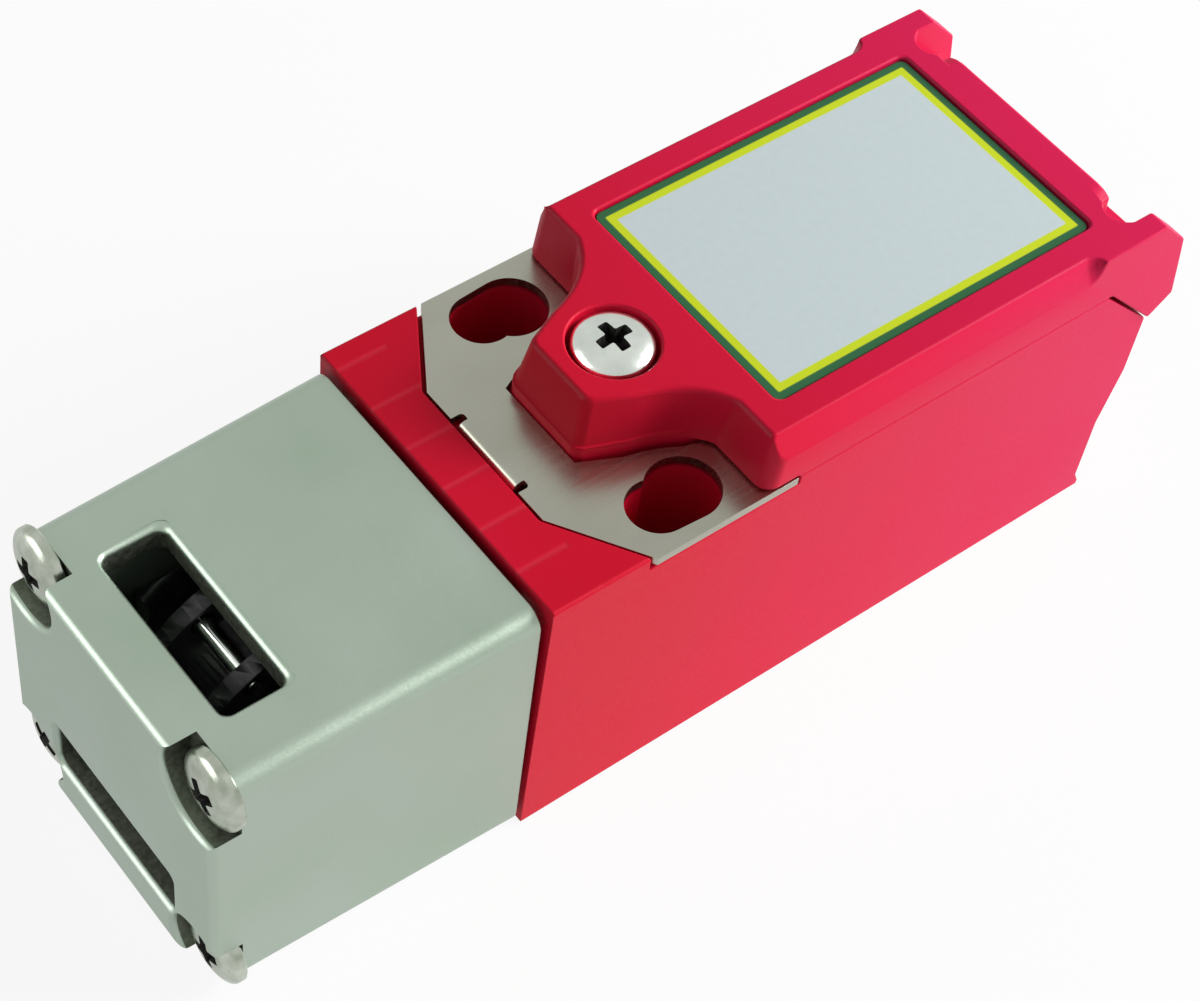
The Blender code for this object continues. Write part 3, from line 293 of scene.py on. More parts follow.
def recess_shade():
    """Painted shade: a near-black finish for the inside of a screw recess."""
    made = Finish((0.035, 0.035, 0.033), 0.6, 0.5)
    grain = made.noise(3800, 2)
    made.mottled(grain, (0.022, 0.022, 0.021), (0.05, 0.05, 0.047))
    made.roughness(made.spread(grain, 0.42, 0.6))
    made.relief(grain, 0.01 * MM, 0.5)
    return made.material


def moulded_black():
    """Black acetal with a light matt grain."""
    made = Finish((0.018, 0.018, 0.020), 0.0, 0.42)
    grain = made.noise(3000, 2)
    made.mottled(made.noise(80, 3), (0.012, 0.012, 0.013), (0.026, 0.026, 0.028))
    made.roughness(made.spread(grain, 0.36, 0.5))
    made.relief(grain, 0.02 * MM, 0.5)
    return made.material


def natural_nylon():
    """Uncoloured nylon, milky and slightly translucent."""
    made = Finish((0.66, 0.60, 0.47), 0.0, 0.45)
    cloud = made.noise(150, 3)
    made.mottled(cloud, (0.62, 0.56, 0.43), (0.72, 0.66, 0.54))
    made.roughness(made.spread(cloud, 0.38, 0.5))
    made.relief(made.noise(2500, 2), 0.02 * MM, 0.4)
    return made.material


def black_rubber():
    """Soft black rubber with a powdery surface."""
    made = Finish((0.012, 0.012, 0.012), 0.0, 0.8)
    grain = made.noise(2200, 3)
    made.mottled(grain, (0.009, 0.009, 0.009), (0.024, 0.024, 0.024))
    made.roughness(made.spread(grain, 0.7, 0.9))
    made.relief(grain, 0.03 * MM, 0.6)
    return made.material


def bright_brass():
    """Stamped brass with fine drawing lines and a little tarnish."""
    made = Finish((0.72, 0.50, 0.17), 1.0, 0.28)
    cloud = made.noise(300, 3)
    made.mottled(cloud, (0.62, 0.41, 0.13), (0.78, 0.56, 0.22))
    made.roughness(made.spread(cloud, 0.2, 0.36))
    made.relief(made.noise(3000, 2, (0.1, 1, 1)), 0.006 * MM, 0.5)
    return made.material


def silver_alloy():
    """Contact silver, soft and slightly dulled."""
    made = Finish((0.80, 0.79, 0.74), 1.0, 0.26)
    cloud = made.noise(700, 3)
    made.mottled(cloud, (0.68, 0.66, 0.60), (0.84, 0.83, 0.79))
    made.roughness(made.spread(cloud, 0.2, 0.34))
    made.relief(made.noise(3500, 2), 0.006 * MM, 0.5)
    return made.material


def label_print():
    """Satin film with a green edge line, a lime line inside it and a bare pale field."""
    settings = bpy.context.scene.switch_label
    made = Finish((0.68, 0.78, 0.82), 0.0, 0.35)
    middle = (LABEL_LOW + LABEL_HIGH) / 2
    half = (LABEL_HIGH - LABEL_LOW) / 2
    shifted = made.node("ShaderNodeVectorMath", operation="SUBTRACT")
    shifted.inputs[1].default_value = middle
    made.link(made.coordinates, shifted.inputs[0])
    parts = made.node("ShaderNodeSeparateXYZ")
    made.link(shifted.outputs["Vector"], parts.inputs["Vector"])
    from_end = made.math("SUBTRACT", half.x, made.math("ABSOLUTE", parts.outputs["X"]))
    from_side = made.math("SUBTRACT", half.y, made.math("ABSOLUTE", parts.outputs["Y"]))
    inwards = made.math("SMOOTH_MIN", from_end, from_side, 0.2 * MM)
    soft = 0.05 * MM

    def inside(line):
        return made.spread(inwards, 0.0, 1.0, line - soft, line + soft)

    pale = tuple(settings.field)
    speck = made.spread(made.noise(1800, 2), 0.0, 1.0)
    field = made.blend(speck, pale, tuple(part * 0.97 for part in pale))
    ringed = made.blend(inside(settings.green_line + settings.lime_line), tuple(settings.lime), field)
    made.colour(made.blend(inside(settings.green_line), tuple(settings.green), ringed))
    made.roughness(made.spread(made.noise(90, 2), 0.28, 0.4))
    made.relief(made.noise(1400, 2), 0.008 * MM, 0.4)
    return made.material


def pale_paper():
    """The floor: pale paper, white to the camera and a softer white in what mirrors it."""
    made = Finish((0.82, 0.82, 0.82), 0.0, 0.9)
    made.material.name = "pale paper"
    path = made.node("ShaderNodeLightPath")
    white = made.math("MULTIPLY", path.outputs["Is Camera Ray"], 0.9)
    for ray in ("Is Glossy Ray", "Is Transmission Ray"):
        white = made.math("MAXIMUM", white, made.math("MULTIPLY", path.outputs[ray], 0.6))
    glow = made.node("ShaderNodeEmission")
    mix = made.node("ShaderNodeMixShader")
    made.link(white, mix.inputs["Fac"])
    made.link(made.shader.outputs["BSDF"], mix.inputs[1])
    made.link(glow.outputs["Emission"], mix.inputs[2])
    made.link(mix.outputs["Shader"], made.tree.nodes["Material Output"].inputs["Surface"])
    return made.material


FINISHES = {
    "satin die cast": cast_metal,
    "red moulding": moulded_red,
    "lined moulding": lined_red,
    "stainless sheet": rolled_stainless,
    "casting in painted shade": painted_shade_casting,
    "plated steel": plated_steel,
    "plating in painted shade": plating_in_painted_shade,
    "recess shade": recess_shade,
    "black moulding": moulded_black,
    "natural moulding": natural_nylon,
    "black rubber": black_rubber,
    "brass": bright_brass,
    "silver contact": silver_alloy,
    "label face": label_print,
}


def finish(slot):
    """The finish of a material slot, made once."""
    key = "finish of " + slot
    if key not in bpy.data.materials:
        made = FINISHES[slot]()
        made.name = key
    return bpy.data.materials[key]


SLOT_OF = {entry["node"]: entry["material_slot"] for entry in frame["record"]["subparts"]}
BODY_OF = {
    node: body for body, members in frame["record"]["behaviour"]["bodies"].items() for node in members
}


# Modelling by hand, in code


def clear_selection():
    if bpy.context.object and bpy.context.object.mode != "OBJECT":
        bpy.ops.object.mode_set(mode="OBJECT")
    bpy.ops.object.select_all(action="DESELECT")


def use(piece):
    clear_selection()
    piece.select_set(True)
    bpy.context.view_layer.objects.active = piece


def settle(name):
    """Names the new object and puts its place, turn and size into its mesh."""
    piece = bpy.context.object
    piece.name = piece.data.name = name
    bpy.ops.object.transform_apply(location=True, rotation=True, scale=True)
    return piece


def block(name, low, high):
    """A box between two corners."""
    clear_selection()
    bpy.ops.mesh.primitive_cube_add(size=1, location=[(a + b) / 2 for a, b in zip(low, high)])
    bpy.context.object.scale = [b - a for a, b in zip(low, high)]
    return settle(name)


def drum(name, radius, axis, start, end, centre, vertices=64):
    """A cylinder along an axis, its centre given by the two other coordinates."""
    middle = (start + end) / 2
    place = {"X": (middle, *centre), "Y": (centre[0], middle, centre[1]), "Z": (*centre, middle)}[axis]
    turn = {"X": (0, math.pi / 2, 0), "Y": (math.pi / 2, 0, 0), "Z": (0, 0, 0)}[axis]
    clear_selection()
    bpy.ops.mesh.primitive_cylinder_add(
        vertices=vertices, radius=radius, depth=end - start, location=place, rotation=turn
    )
    return settle(name)


def pencil(name, points):
    """A line drawn from point to point, left in edit mode with its last point selected."""
    clear_selection()
    bpy.ops.mesh.primitive_plane_add(size=1 * MM, location=points[0])
    piece = settle(name)
    bpy.ops.object.mode_set(mode="EDIT")
    bpy.ops.mesh.select_mode(type="VERT")
    bpy.ops.mesh.select_all(action="SELECT")
    bpy.ops.mesh.merge(type="CENTER")
    for here, there in zip(points, points[1:]):
        step = [b - a for a, b in zip(here, there)]
        bpy.ops.mesh.extrude_region_move(TRANSFORM_OT_translate={"value": step})
    return piece


def drawn(name, points, push):
    """A closed outline, filled and pushed out into a solid."""
    piece = pencil(name, points)
    bpy.ops.mesh.select_all(action="SELECT")
    bpy.ops.mesh.edge_face_add()
    bpy.ops.mesh.extrude_region_move(TRANSFORM_OT_translate={"value": push})
    bpy.ops.mesh.select_all(action="SELECT")
    bpy.ops.mesh.normals_make_consistent(inside=False)
    bpy.ops.object.mode_set(mode="OBJECT")
    return piece


def spun(name, profile, steps=64):
    """A profile of radius and height, spun round the Z axis. It starts and ends on the axis."""
    piece = pencil(name, [(radius, 0, height) for radius, height in profile])
    bpy.ops.mesh.select_all(action="SELECT")
    bpy.ops.mesh.spin(steps=steps, angle=2 * math.pi, center=(0, 0, 0), axis=(0, 0, 1))
    bpy.ops.mesh.select_all(action="SELECT")
    bpy.ops.mesh.remove_doubles(threshold=0.002 * MM)
    bpy.ops.mesh.normals_make_consistent(inside=False)
    bpy.ops.object.mode_set(mode="OBJECT")
    return piece


def choose(piece, mode, test):
    """Goes into edit mode and selects what passes the test."""
    use(piece)
    bpy.ops.object.mode_set(mode="EDIT")
    bpy.ops.mesh.select_mode(type=mode)
    bpy.ops.mesh.select_all(action="DESELECT")
    shape = bmesh.from_edit_mesh(piece.data)
    for item in {"VERT": shape.verts, "EDGE": shape.edges, "FACE": shape.faces}[mode]:
        if test(item):
            item.select_set(True)
    bmesh.update_edit_mesh(piece.data)


def resize(piece, test, value, centre):
    """Scales the chosen points about a centre."""
    choose(piece, "VERT", test)
    bpy.ops.transform.resize(value=value, center_override=centre)
    bpy.ops.object.mode_set(mode="OBJECT")


def round_edges(piece, test, width, segments):
    """Bevels the chosen edges to a radius."""
    choose(piece, "EDGE", test)
    bpy.ops.mesh.bevel(offset=width, segments=segments, affect="EDGES", clamp_overlap=True)
    bpy.ops.object.mode_set(mode="OBJECT")


def spans(edge, axis):
    """Whether an edge runs along an axis, 0 to 2."""
    step = edge.verts[1].co - edge.verts[0].co
    return step.length > 0 and abs(step[axis]) > 0.9 * step.length


def lies(edge, axis, level, slack=0.02 * MM):
    """Whether an edge lies in a plane across an axis."""
    return all(abs(vertex.co[axis] - level) < slack for vertex in edge.verts)


def within(edge, axis, low, high):
    """Whether an edge lies between two levels."""
    return all(low < vertex.co[axis] < high for vertex in edge.verts)


def apply_modifier(piece, kind, **values):
    """Adds a modifier with these values and makes it part of the mesh."""
    use(piece)
    bpy.ops.object.modifier_add(type=kind)
    modifier = piece.modifiers[-1]
    for key, value in values.items():
        setattr(modifier, key, value)
    bpy.ops.object.modifier_apply(modifier=modifier.name)


def combine(piece, others, operation):
    """Joins or cuts the piece with others, which are used up."""
    for other in others:
        apply_modifier(piece, "BOOLEAN", operation=operation, solver="EXACT", object=other)
        bpy.data.objects.remove(other, do_unlink=True)


def carve(piece, *cutters):
    combine(piece, cutters, "DIFFERENCE")


def add_to(piece, *others):
    combine(piece, others, "UNION")


def merge_points(piece, distance):
    """Merges points that lie this close, and leaves the piece in edit mode."""
    use(piece)
    bpy.ops.object.mode_set(mode="EDIT")
    bpy.ops.mesh.select_all(action="SELECT")
    bpy.ops.mesh.remove_doubles(threshold=distance)


def smooth(piece):
    """Merges stray points, and shades the piece smooth around its flat faces."""
    merge_points(piece, 0.003 * MM)
    bpy.ops.object.mode_set(mode="OBJECT")
    bpy.ops.object.shade_smooth_by_angle(angle=math.radians(35))
    apply_modifier(piece, "WEIGHTED_NORMAL", keep_sharp=True, weight=60)


def soften(piece, width, angle, merge=0.02 * MM):
    """Clears the lines that cross flat faces, and rounds every edge sharper than the angle."""
    merge_points(piece, merge)
    bpy.ops.mesh.dissolve_limited(angle_limit=math.radians(0.5))
    bpy.ops.object.mode_set(mode="OBJECT")
    apply_modifier(
        piece, "BEVEL", width=width, segments=2, limit_method="ANGLE", angle_limit=math.radians(angle),
        use_clamp_overlap=False, miter_outer="MITER_ARC",
    )
    smooth(piece)


def stand(piece, direction, place, roll=0.0):
    """Turns a piece made upright at the origin to a direction, and puts it in place."""
    use(piece)
    turn = Vector(direction).to_track_quat("Z", "Y") @ Matrix.Rotation(roll, 3, "Z").to_quaternion()
    piece.matrix_world = Matrix.LocRotScale(Vector(place), turn, None)
    bpy.ops.object.transform_apply(location=True, rotation=True, scale=True)
    return piece


def rimmed(name, half_x, half_y, corner, depth, lip):
    """A cutter for a rounded opening, with its rim at the origin plane and its depth below."""
    piece = block(name, (-half_x, -half_y, -depth), (half_x, half_y, -lip))
    round_edges(piece, lambda e: spans(e, 2), corner, 6)
    level, grown = -lip, 0.0
    turns = [math.pi / 2 * step / 6 for step in range(1, 7)]
    for rise, grow in [(lip * math.sin(t) - lip, lip * (1 - math.cos(t))) for t in turns] + [(1 * MM, lip)]:
        choose(piece, "FACE", lambda f: f.normal.z > 0.9 and f.calc_center_median().z > level - 1e-6)
        bpy.ops.mesh.extrude_region_move(TRANSFORM_OT_translate={"value": (0, 0, rise - level)})
        factor = [(half + grow) / (half + grown) for half in (half_x, half_y)]
        bpy.ops.transform.resize(value=(*factor, 1), center_override=(0, 0, 0))
        bpy.ops.object.mode_set(mode="OBJECT")
        level, grown = rise, grow
    return piece


def flared(name, radius, height, lip):
    """A cutter for a round counterbore, with its floor at the origin and its rim at the height."""
    flare = arc((radius + lip, height - lip), lip, math.pi / 2, math.pi, 8)
    profile = [(0, height + 2 * MM), (radius + lip, height + 2 * MM), *flare, (radius, 0), (0, 0)]
    return spun(name, profile, 72)


def finish_with_painted_shade(slots, *pieces):
    """Gives the pieces the same two finishes, the second a painted shade. Cutters get it below their rim.
    """
    for piece in pieces:
        for slot in slots:
            piece.data.materials.append(finish(slot))


def shade_below(cutter, level):
    """The faces of a cutter that lie below the level leave the second finish, a painted shade, behind."""
    for face in cutter.data.polygons:
        face.material_index = int(face.center.z < level)


def copy_of(piece, name):
    """A copy of a piece, with its own mesh."""
    use(piece)
    bpy.ops.object.duplicate(linked=False)
    twin = bpy.context.object
    twin.name = twin.data.name = name
    return twin


def complete(piece, *nodes, look=None):
    """Gives the finished piece its finish and its body, and lets it stand for its nodes."""
    if len(piece.data.materials) < 2:
        piece.data.materials.clear()
        piece.data.materials.append(finish(look or SLOT_OF[nodes[0]]))
    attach(piece, BODY_OF[nodes[0]])
    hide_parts(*nodes)


# Outlines, in metres unless they say millimetres


def arc(centre, radius, start, end, steps):
    """Points on an arc from one angle to another."""
    turn = (end - start) / steps
    return [
        (centre[0] + radius * math.cos(start + turn * i), centre[1] + radius * math.sin(start + turn * i))
        for i in range(steps + 1)
    ]


def bow(start, pull, end, steps=12):
    """Points on a curve from start to end that leans towards the pull point."""
    points = []
    for step in range(steps + 1):
        t = step / steps
        weights = ((1 - t) ** 2, 2 * t * (1 - t), t**2)
        points.append(tuple(sum(w * p[i] for w, p in zip(weights, (start, pull, end))) for i in (0, 1)))
    return points


def placed(points, side=1, ahead=0.0, aside=0.0):
    """Points in millimetres behind the body front, on one side, moved outwards if asked."""
    return [(along(x) - ahead, side * (y * MM + aside)) for x, y in points]


def symmetric(points, ahead=0.0, aside=0.0):
    """The same points on both sides, as one outline."""
    return placed(points, 1, ahead, aside) + placed(points[::-1], -1, ahead, aside)


def raised(outline, height):
    """A flat outline, set at a height."""
    return [(x, y, height) for x, y in outline]


def standing(profile, side):
    """A side profile of x and z, set at a distance to one side."""
    return [(x, side, z) for x, z in profile]


def pear(side):
    """Outline of a fixing slot: two round lobes, smooth outside and with a cusp inside."""
    (x1, y1, r1), (x2, y2, r2) = (11.05, 9.65, 2.25), (13.35, 9.4, 2.65)
    reach = math.hypot(x2 - x1, y2 - y1)
    lean = math.atan2(y2 - y1, x2 - x1)
    tangent = lean + math.acos((r1 - r2) / reach)
    foot = (reach**2 + r1**2 - r2**2) / (2 * reach)
    front_cusp = lean - math.acos(foot / r1)
    rear_cusp = lean - math.acos((foot - reach) / r2)
    outline = arc((x1, y1), r1, tangent, front_cusp + 2 * math.pi, 30)[:-1]
    outline += arc((x2, y2), r2, rear_cusp, tangent, 40)
    return placed(outline, side)


ASIDE, UPPER, LOWER = 10.05 * MM, 22.4 * MM, 3.15 * MM
UPPER_POCKET, LOWER_POCKET, POCKET_DEPTH = 3.65 * MM, 3.1 * MM, 2.3 * MM
# Side, height and pocket radius of each head screw
HEAD_SPOTS = {
    "top_left": (ASIDE, UPPER, UPPER_POCKET), "top_right": (-ASIDE, UPPER, UPPER_POCKET),
    "bottom_left": (ASIDE, LOWER, LOWER_POCKET), "bottom_right": (-ASIDE, LOWER, LOWER_POCKET),
}
SCREW_WAY = 1.65 * MM
MIDDLE_HEIGHT = 12.5 * MM
PLATE_HALF = 13.05 * MM
CHAMBER_FRONT, CHAMBER_REAR = along(22.7), along(51.7)
CHAMBER_HALF, CHAMBER_CORNER = 9.1 * MM, 1.0 * MM
CABLE_WAY = (0, 12 * MM)


def head_cross(grow):
    """Cross section of the head cavity, grown outwards."""
    wide, low = 9.9 * MM + grow, 6.6 * MM + grow
    narrow, high = 7.3 * MM + grow, 10.2 * MM + grow
    quarter = [(wide, low), (narrow, low), (narrow, high)]
    outline = quarter + [(-y, z) for y, z in reversed(quarter)]
    outline += [(-y, -z) for y, z in quarter] + [(y, -z) for y, z in reversed(quarter)]
    return [(y, MIDDLE_HEIGHT + z) for y, z in outline]


def rounded(before, corner, after, radius, steps=6):
    """Points of an arc that rounds the corner between two straight sides."""
    before, corner, after = (Vector(point) for point in (before, corner, after))
    back, onward = (before - corner).normalized(), (after - corner).normalized()
    half = back.angle(onward) / 2
    centre = corner + (back + onward).normalized() * radius / math.sin(half)
    start = corner + back * radius / math.tan(half) - centre
    end = corner + onward * radius / math.tan(half) - centre
    return [tuple(centre + start.slerp(end, step / steps)) for step in range(steps + 1)]


# Half outlines of the screw boss and its foot, in millimetres
TOP_BOW = bow((12.6, 4.35), (17.0, 5.6), (18.1, 9.2))
FOOT_BOW = bow((12.0, 4.85), (17.0, 6.0), (17.5, 8.6))
BOSS_TOP = rounded((9.9, -2.9), (9.9, 2.9), TOP_BOW[0], 0.8) + TOP_BOW
BOSS_FOOT = rounded((9.0, -3.45), (9.0, 3.45), FOOT_BOW[0], 0.8) + FOOT_BOW
FOOT_END = (17.5, 6.9)
FOOT_REACH = FOOT_END[1] - 0.3
FOOT_SIDE = [point for point in BOSS_FOOT if point[1] < FOOT_REACH]
BOSS_WAY = [(9.0, 3.45)] + [point for point in FOOT_BOW if point[1] < FOOT_REACH]


class HeadSettings(bpy.types.PropertyGroup):
    """Roundings and openings of the head casting."""

    taper: FloatProperty(
        name="Taper", description="Draft of each side towards the front",
        default=0.5 * MM, unit="LENGTH",
    )
    long_round: FloatProperty(
        name="Long edges", description="Radius of the long edges", default=1.45 * MM, unit="LENGTH",
    )
    front_round: FloatProperty(
        name="Front edges", description="Radius around the front", default=0.6 * MM, unit="LENGTH",
    )
    slot_from_corner: FloatProperty(
        name="Slot place", description="From the corner to each key slot",
        default=4.2 * MM, unit="LENGTH",
    )
    slot_height: FloatProperty(
        name="Slot height", description="Width of the key slots", default=4.8 * MM, unit="LENGTH",
    )
    slot_half: FloatProperty(
        name="Slot half length", description="Half the length of the key slots",
        default=7.2 * MM, unit="LENGTH",
    )
    slot_round: FloatProperty(
        name="Slot corners", description="Corner radius of the key slots",
        default=0.75 * MM, unit="LENGTH",
    )
    slot_lip: FloatProperty(
        name="Slot lip", description="Rounding of the slot rims", default=0.5 * MM, unit="LENGTH",
    )
    pocket_lip: FloatProperty(
        name="Pocket lip", description="Flare of the screw pockets", default=0.45 * MM, unit="LENGTH",
    )
    edge: FloatProperty(
        name="Fine edges", description="Rounding of every other edge", default=0.12 * MM, unit="LENGTH",
    )


class ScrewSettings(bpy.types.PropertyGroup):
    """Heads and cross recesses of the screws."""

    head_radius: FloatProperty(
        name="Head radius", description="Radius of the domed heads", default=2.9 * MM, unit="LENGTH",
    )
    shank_radius: FloatProperty(
        name="Shank radius", description="Radius of the shanks", default=1.4 * MM, unit="LENGTH",
    )
    cross_reach: FloatProperty(
        name="Cross reach", description="Half length of the recess arms",
        default=1.5 * MM, unit="LENGTH",
    )
    cross_width: FloatProperty(
        name="Cross width", description="Half width of the recess arms",
        default=0.46 * MM, unit="LENGTH",
    )
    cross_depth: FloatProperty(
        name="Cross depth", description="Depth of the recess", default=1.5 * MM, unit="LENGTH",
    )


class BodySettings(bpy.types.PropertyGroup):
    """Edges and mould lines of the body moulding."""

    draft: FloatProperty(
        name="Draft", description="How far each side leans out at the top",
        default=0.43 * MM, unit="LENGTH",
    )
    edge: FloatProperty(
        name="Edges", description="Rounding of the moulded edges", default=0.14 * MM, unit="LENGTH",
    )
    line_pitch: FloatProperty(
        name="Line pitch", description="Distance of the shallow lines on the front strip",
        default=4.0 * MM, unit="LENGTH",
    )
    line_width: FloatProperty(
        name="Line width", description="Width of the shallow lines", default=0.6 * MM, unit="LENGTH",
    )
    line_depth: FloatProperty(
        name="Line depth", description="Depth of the shallow lines", default=0.04 * MM, unit="LENGTH",
    )
    line_strength: FloatProperty(
        name="Line strength", description="How pale the lines are", default=0.3, min=0, max=1,
    )


class PlateSettings(bpy.types.PropertyGroup):
    """Bend and edges of the fixing plate."""

    bend: FloatProperty(
        name="Bend", description="Outer radius of the bent tab", default=0.8 * MM, unit="LENGTH",
    )
    tab_half: FloatProperty(
        name="Tab half width", description="Half the width of the bent tab",
        default=3.1 * MM, unit="LENGTH",
    )
    relief: FloatProperty(
        name="Relief", description="Width of the notches beside the tab",
        default=0.6 * MM, unit="LENGTH",
    )
    edge: FloatProperty(
        name="Edges", description="Rounding of the stamped edges", default=0.07 * MM, unit="LENGTH",
    )


class LidSettings(bpy.types.PropertyGroup):
    """Roundings and recesses of the hinged lid."""

    crown: FloatProperty(
        name="Boss crown", description="Rounding of the boss's upper edge",
        default=0.4 * MM, unit="LENGTH",
    )
    edge: FloatProperty(
        name="Edges", description="Rounding of the moulded edges", default=0.18 * MM, unit="LENGTH",
    )
    corner: FloatProperty(
        name="Front corners", description="Radius of the upright front corners",
        default=1.2 * MM, unit="LENGTH",
    )
    bore: FloatProperty(
        name="Screw bore", description="Radius of the counterbore", default=3.2 * MM, unit="LENGTH",
    )
    label_depth: FloatProperty(
        name="Label depth", description="Depth of the label recess", default=0.6 * MM, unit="LENGTH",
    )


class LabelSettings(bpy.types.PropertyGroup):
    """Printed lines and colours of the label."""

    green_line: FloatProperty(
        name="Green line", description="Width of the outer line", default=0.6 * MM, unit="LENGTH",
    )
    lime_line: FloatProperty(
        name="Lime line", description="Width of the inner line", default=0.6 * MM, unit="LENGTH",
    )
    green: FloatVectorProperty(
        name="Green", description="Colour of the outer line",
        default=(0.008, 0.115, 0.032), subtype="COLOR",
    )
    lime: FloatVectorProperty(
        name="Lime", description="Colour of the inner line",
        default=(0.62, 0.74, 0.003), subtype="COLOR",
    )
    field: FloatVectorProperty(
        name="Field", description="Colour of the bare field",
        default=(0.61, 0.70, 0.72), subtype="COLOR",
    )


class StageSettings(bpy.types.PropertyGroup):
    """Floor, lamps and camera."""

    lens: FloatProperty(
        name="Lens", description="Focal length on a 36 mm sensor",
        default=85.8443, subtype="DISTANCE_CAMERA",
    )
    soft_box: FloatProperty(
        name="Soft box", description="Power of the soft lamp behind the switch",
        default=4.1, subtype="POWER",
    )
    rim_card: FloatProperty(
        name="Rim card", description="Power of the card that edges and bends mirror",
        default=1.2, subtype="POWER",
    )
    fill: FloatProperty(
        name="Fill", description="Strength of the surround on dull faces", default=0.26, min=0,
    )
    surround: FloatProperty(
        name="Surround", description="Strength of the surround in what mirrors it", default=0.74, min=0,
    )


def bounds_of(node):
    """Lower corner, upper corner and middle of a node."""
    low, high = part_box(node)
    return low, high, (low + high) / 2


class SWITCH_OT_head_casting(bpy.types.Operator):
    """Models the die-cast key head with its slots and screw pockets"""

    bl_idname = "switch.head_casting"
    bl_label = "Head casting"

    def execute(self, context):
        sizes = context.scene.switch_head
        low, high, middle = bounds_of("head_shell")
        piece = block("head_casting", low, high)
        narrow = 1 - 2 * sizes.taper / (high.y - low.y)
        resize(piece, lambda v: v.co.x < middle.x, (1, narrow, narrow), (low.x, 0, middle.z))
        round_edges(piece, lambda e: spans(e, 0), sizes.long_round, 8)
        round_edges(piece, lambda e: lies(e, 0, low.x), sizes.front_round, 6)
        round_edges(piece, lambda e: lies(e, 0, high.x), sizes.edge, 3)
        cavity = [(low.x + 3.1 * MM, y, z) for y, z in head_cross(0)]
        carve(piece, drawn("head cavity", cavity, (high.x - low.x, 0, 0)))

        # The second finish is painted shade for the walls inside the slots and pockets.
        lit_and_painted_shade = ("satin die cast", "casting in painted shade")
        finish_with_painted_shade(lit_and_painted_shade, piece)
        half, across = sizes.slot_half, sizes.slot_height / 2
        top = rimmed("top slot", across, half, sizes.slot_round, 8 * MM, sizes.slot_lip)
        finish_with_painted_shade(lit_and_painted_shade, top)
        shade_below(top, -sizes.slot_lip)
        reach = sizes.slot_from_corner + across
        fall = sizes.taper * (1 - reach / (high.x - low.x))
        stand(top, (0, 0, 1), (low.x + reach, 0, high.z - fall))
        front = rimmed("front slot", half, across, sizes.slot_round, 8 * MM, sizes.slot_lip)
        finish_with_painted_shade(lit_and_painted_shade, front)
        shade_below(front, -sizes.slot_lip)
        stand(front, (-1, 0, 0), (low.x, 0, low.z + sizes.slot_from_corner + across))
        carve(piece, top, front)
        for spot, (y, z, radius) in HEAD_SPOTS.items():
            pocket = flared("pocket " + spot, radius, POCKET_DEPTH, sizes.pocket_lip)
            finish_with_painted_shade(lit_and_painted_shade, pocket)
            shade_below(pocket, POCKET_DEPTH - sizes.pocket_lip)
            stand(pocket, (-1, 0, 0), (low.x + POCKET_DEPTH, y, z))
            carve(piece, pocket)
            carve(piece, drum("screw way", SCREW_WAY, "X", low.x + 1.5 * MM, high.x + 1 * MM, (y, z), 32))
        smooth(piece)
        complete(piece, "head_shell")
        return {"FINISHED"}


def cross_cutter(sizes, top):
    """A tapered cross with rounded corners, reaching down from above the head."""
    reach, width = sizes.cross_reach, sizes.cross_width
    outline = [(reach, -width), (reach, width), (width, width)]
    for turn in range(3):
        outline += [(-y, x) for x, y in outline[-3:]]
    cutter = drawn("cross", raised(outline, top + 0.4 * MM), (0, 0, -sizes.cross_depth - 0.4 * MM))
    resize(cutter, lambda v: v.co.z < top - 0.5 * MM, (0.55, 0.55, 1), (0, 0, 0))
    round_edges(cutter, lambda e: spans(e, 2), 0.13 * MM, 4)
    return cutter


def domed_screw(name, height, side, length, sizes, tone="plated steel"):
    """A domed screw standing on its seat at the origin."""
    radius, shank = sizes.head_radius, sizes.shank_radius
    under = 0.12 * MM
    profile = [
        (radius * math.sin(turn), side + (height - side) * math.cos(turn))
        for turn in (math.pi / 2 * step / 16 for step in range(17))
    ]
    profile += [(radius, under), (radius - under, 0), (shank, 0), (shank, 0.3 * MM - length)]
    profile += [(shank - 0.3 * MM, -length), (0, -length)]
    piece = spun(name, profile, 72)
    cutter = cross_cutter(sizes, height)
    finish_with_painted_shade((tone, "recess shade"), piece, cutter)
    shade_below(cutter, height + 1 * MM)
    carve(piece, cutter)
    smooth(piece)
    return piece


class SWITCH_OT_screws(bpy.types.Operator):
    """Models one screw, sets a copy in each corner of the head, and makes the taller one in the lid"""

    bl_idname = "switch.screws"
    bl_label = "Screws"

    def execute(self, context):
        sizes = context.scene.switch_screws
        low, high, _ = bounds_of("head_screw_top_left")
        seat = HEAD_FRONT + POCKET_DEPTH - 0.15 * MM
        height, length = seat - low.x - 0.1 * MM, high.x - seat
        # The head screws take the darker plating as painted shade from their pockets.
        pattern = domed_screw("screw pattern", height, 0.55 * MM, length, sizes, "plating in painted shade")
        rolls = {"top_left": 12, "top_right": 38, "bottom_left": 65, "bottom_right": 20}
        for spot, (y, z, _) in HEAD_SPOTS.items():
            piece = copy_of(pattern, "pan_screw_" + spot)
            stand(piece, (-1, 0, 0), (seat, y, z), math.radians(rolls[spot]))
            complete(piece, "head_screw_" + spot)
        bpy.data.objects.remove(pattern, do_unlink=True)

        low, high, middle = bounds_of("lid_screw")
        height = 2.5 * MM
        seat = high.z - height
        piece = domed_screw("captive_screw", height, 1.4 * MM, seat - low.z, sizes)
        stand(piece, (0, 0, 1), (middle.x, middle.y, seat), math.radians(2))
        complete(piece, "lid_screw")
        return {"FINISHED"}


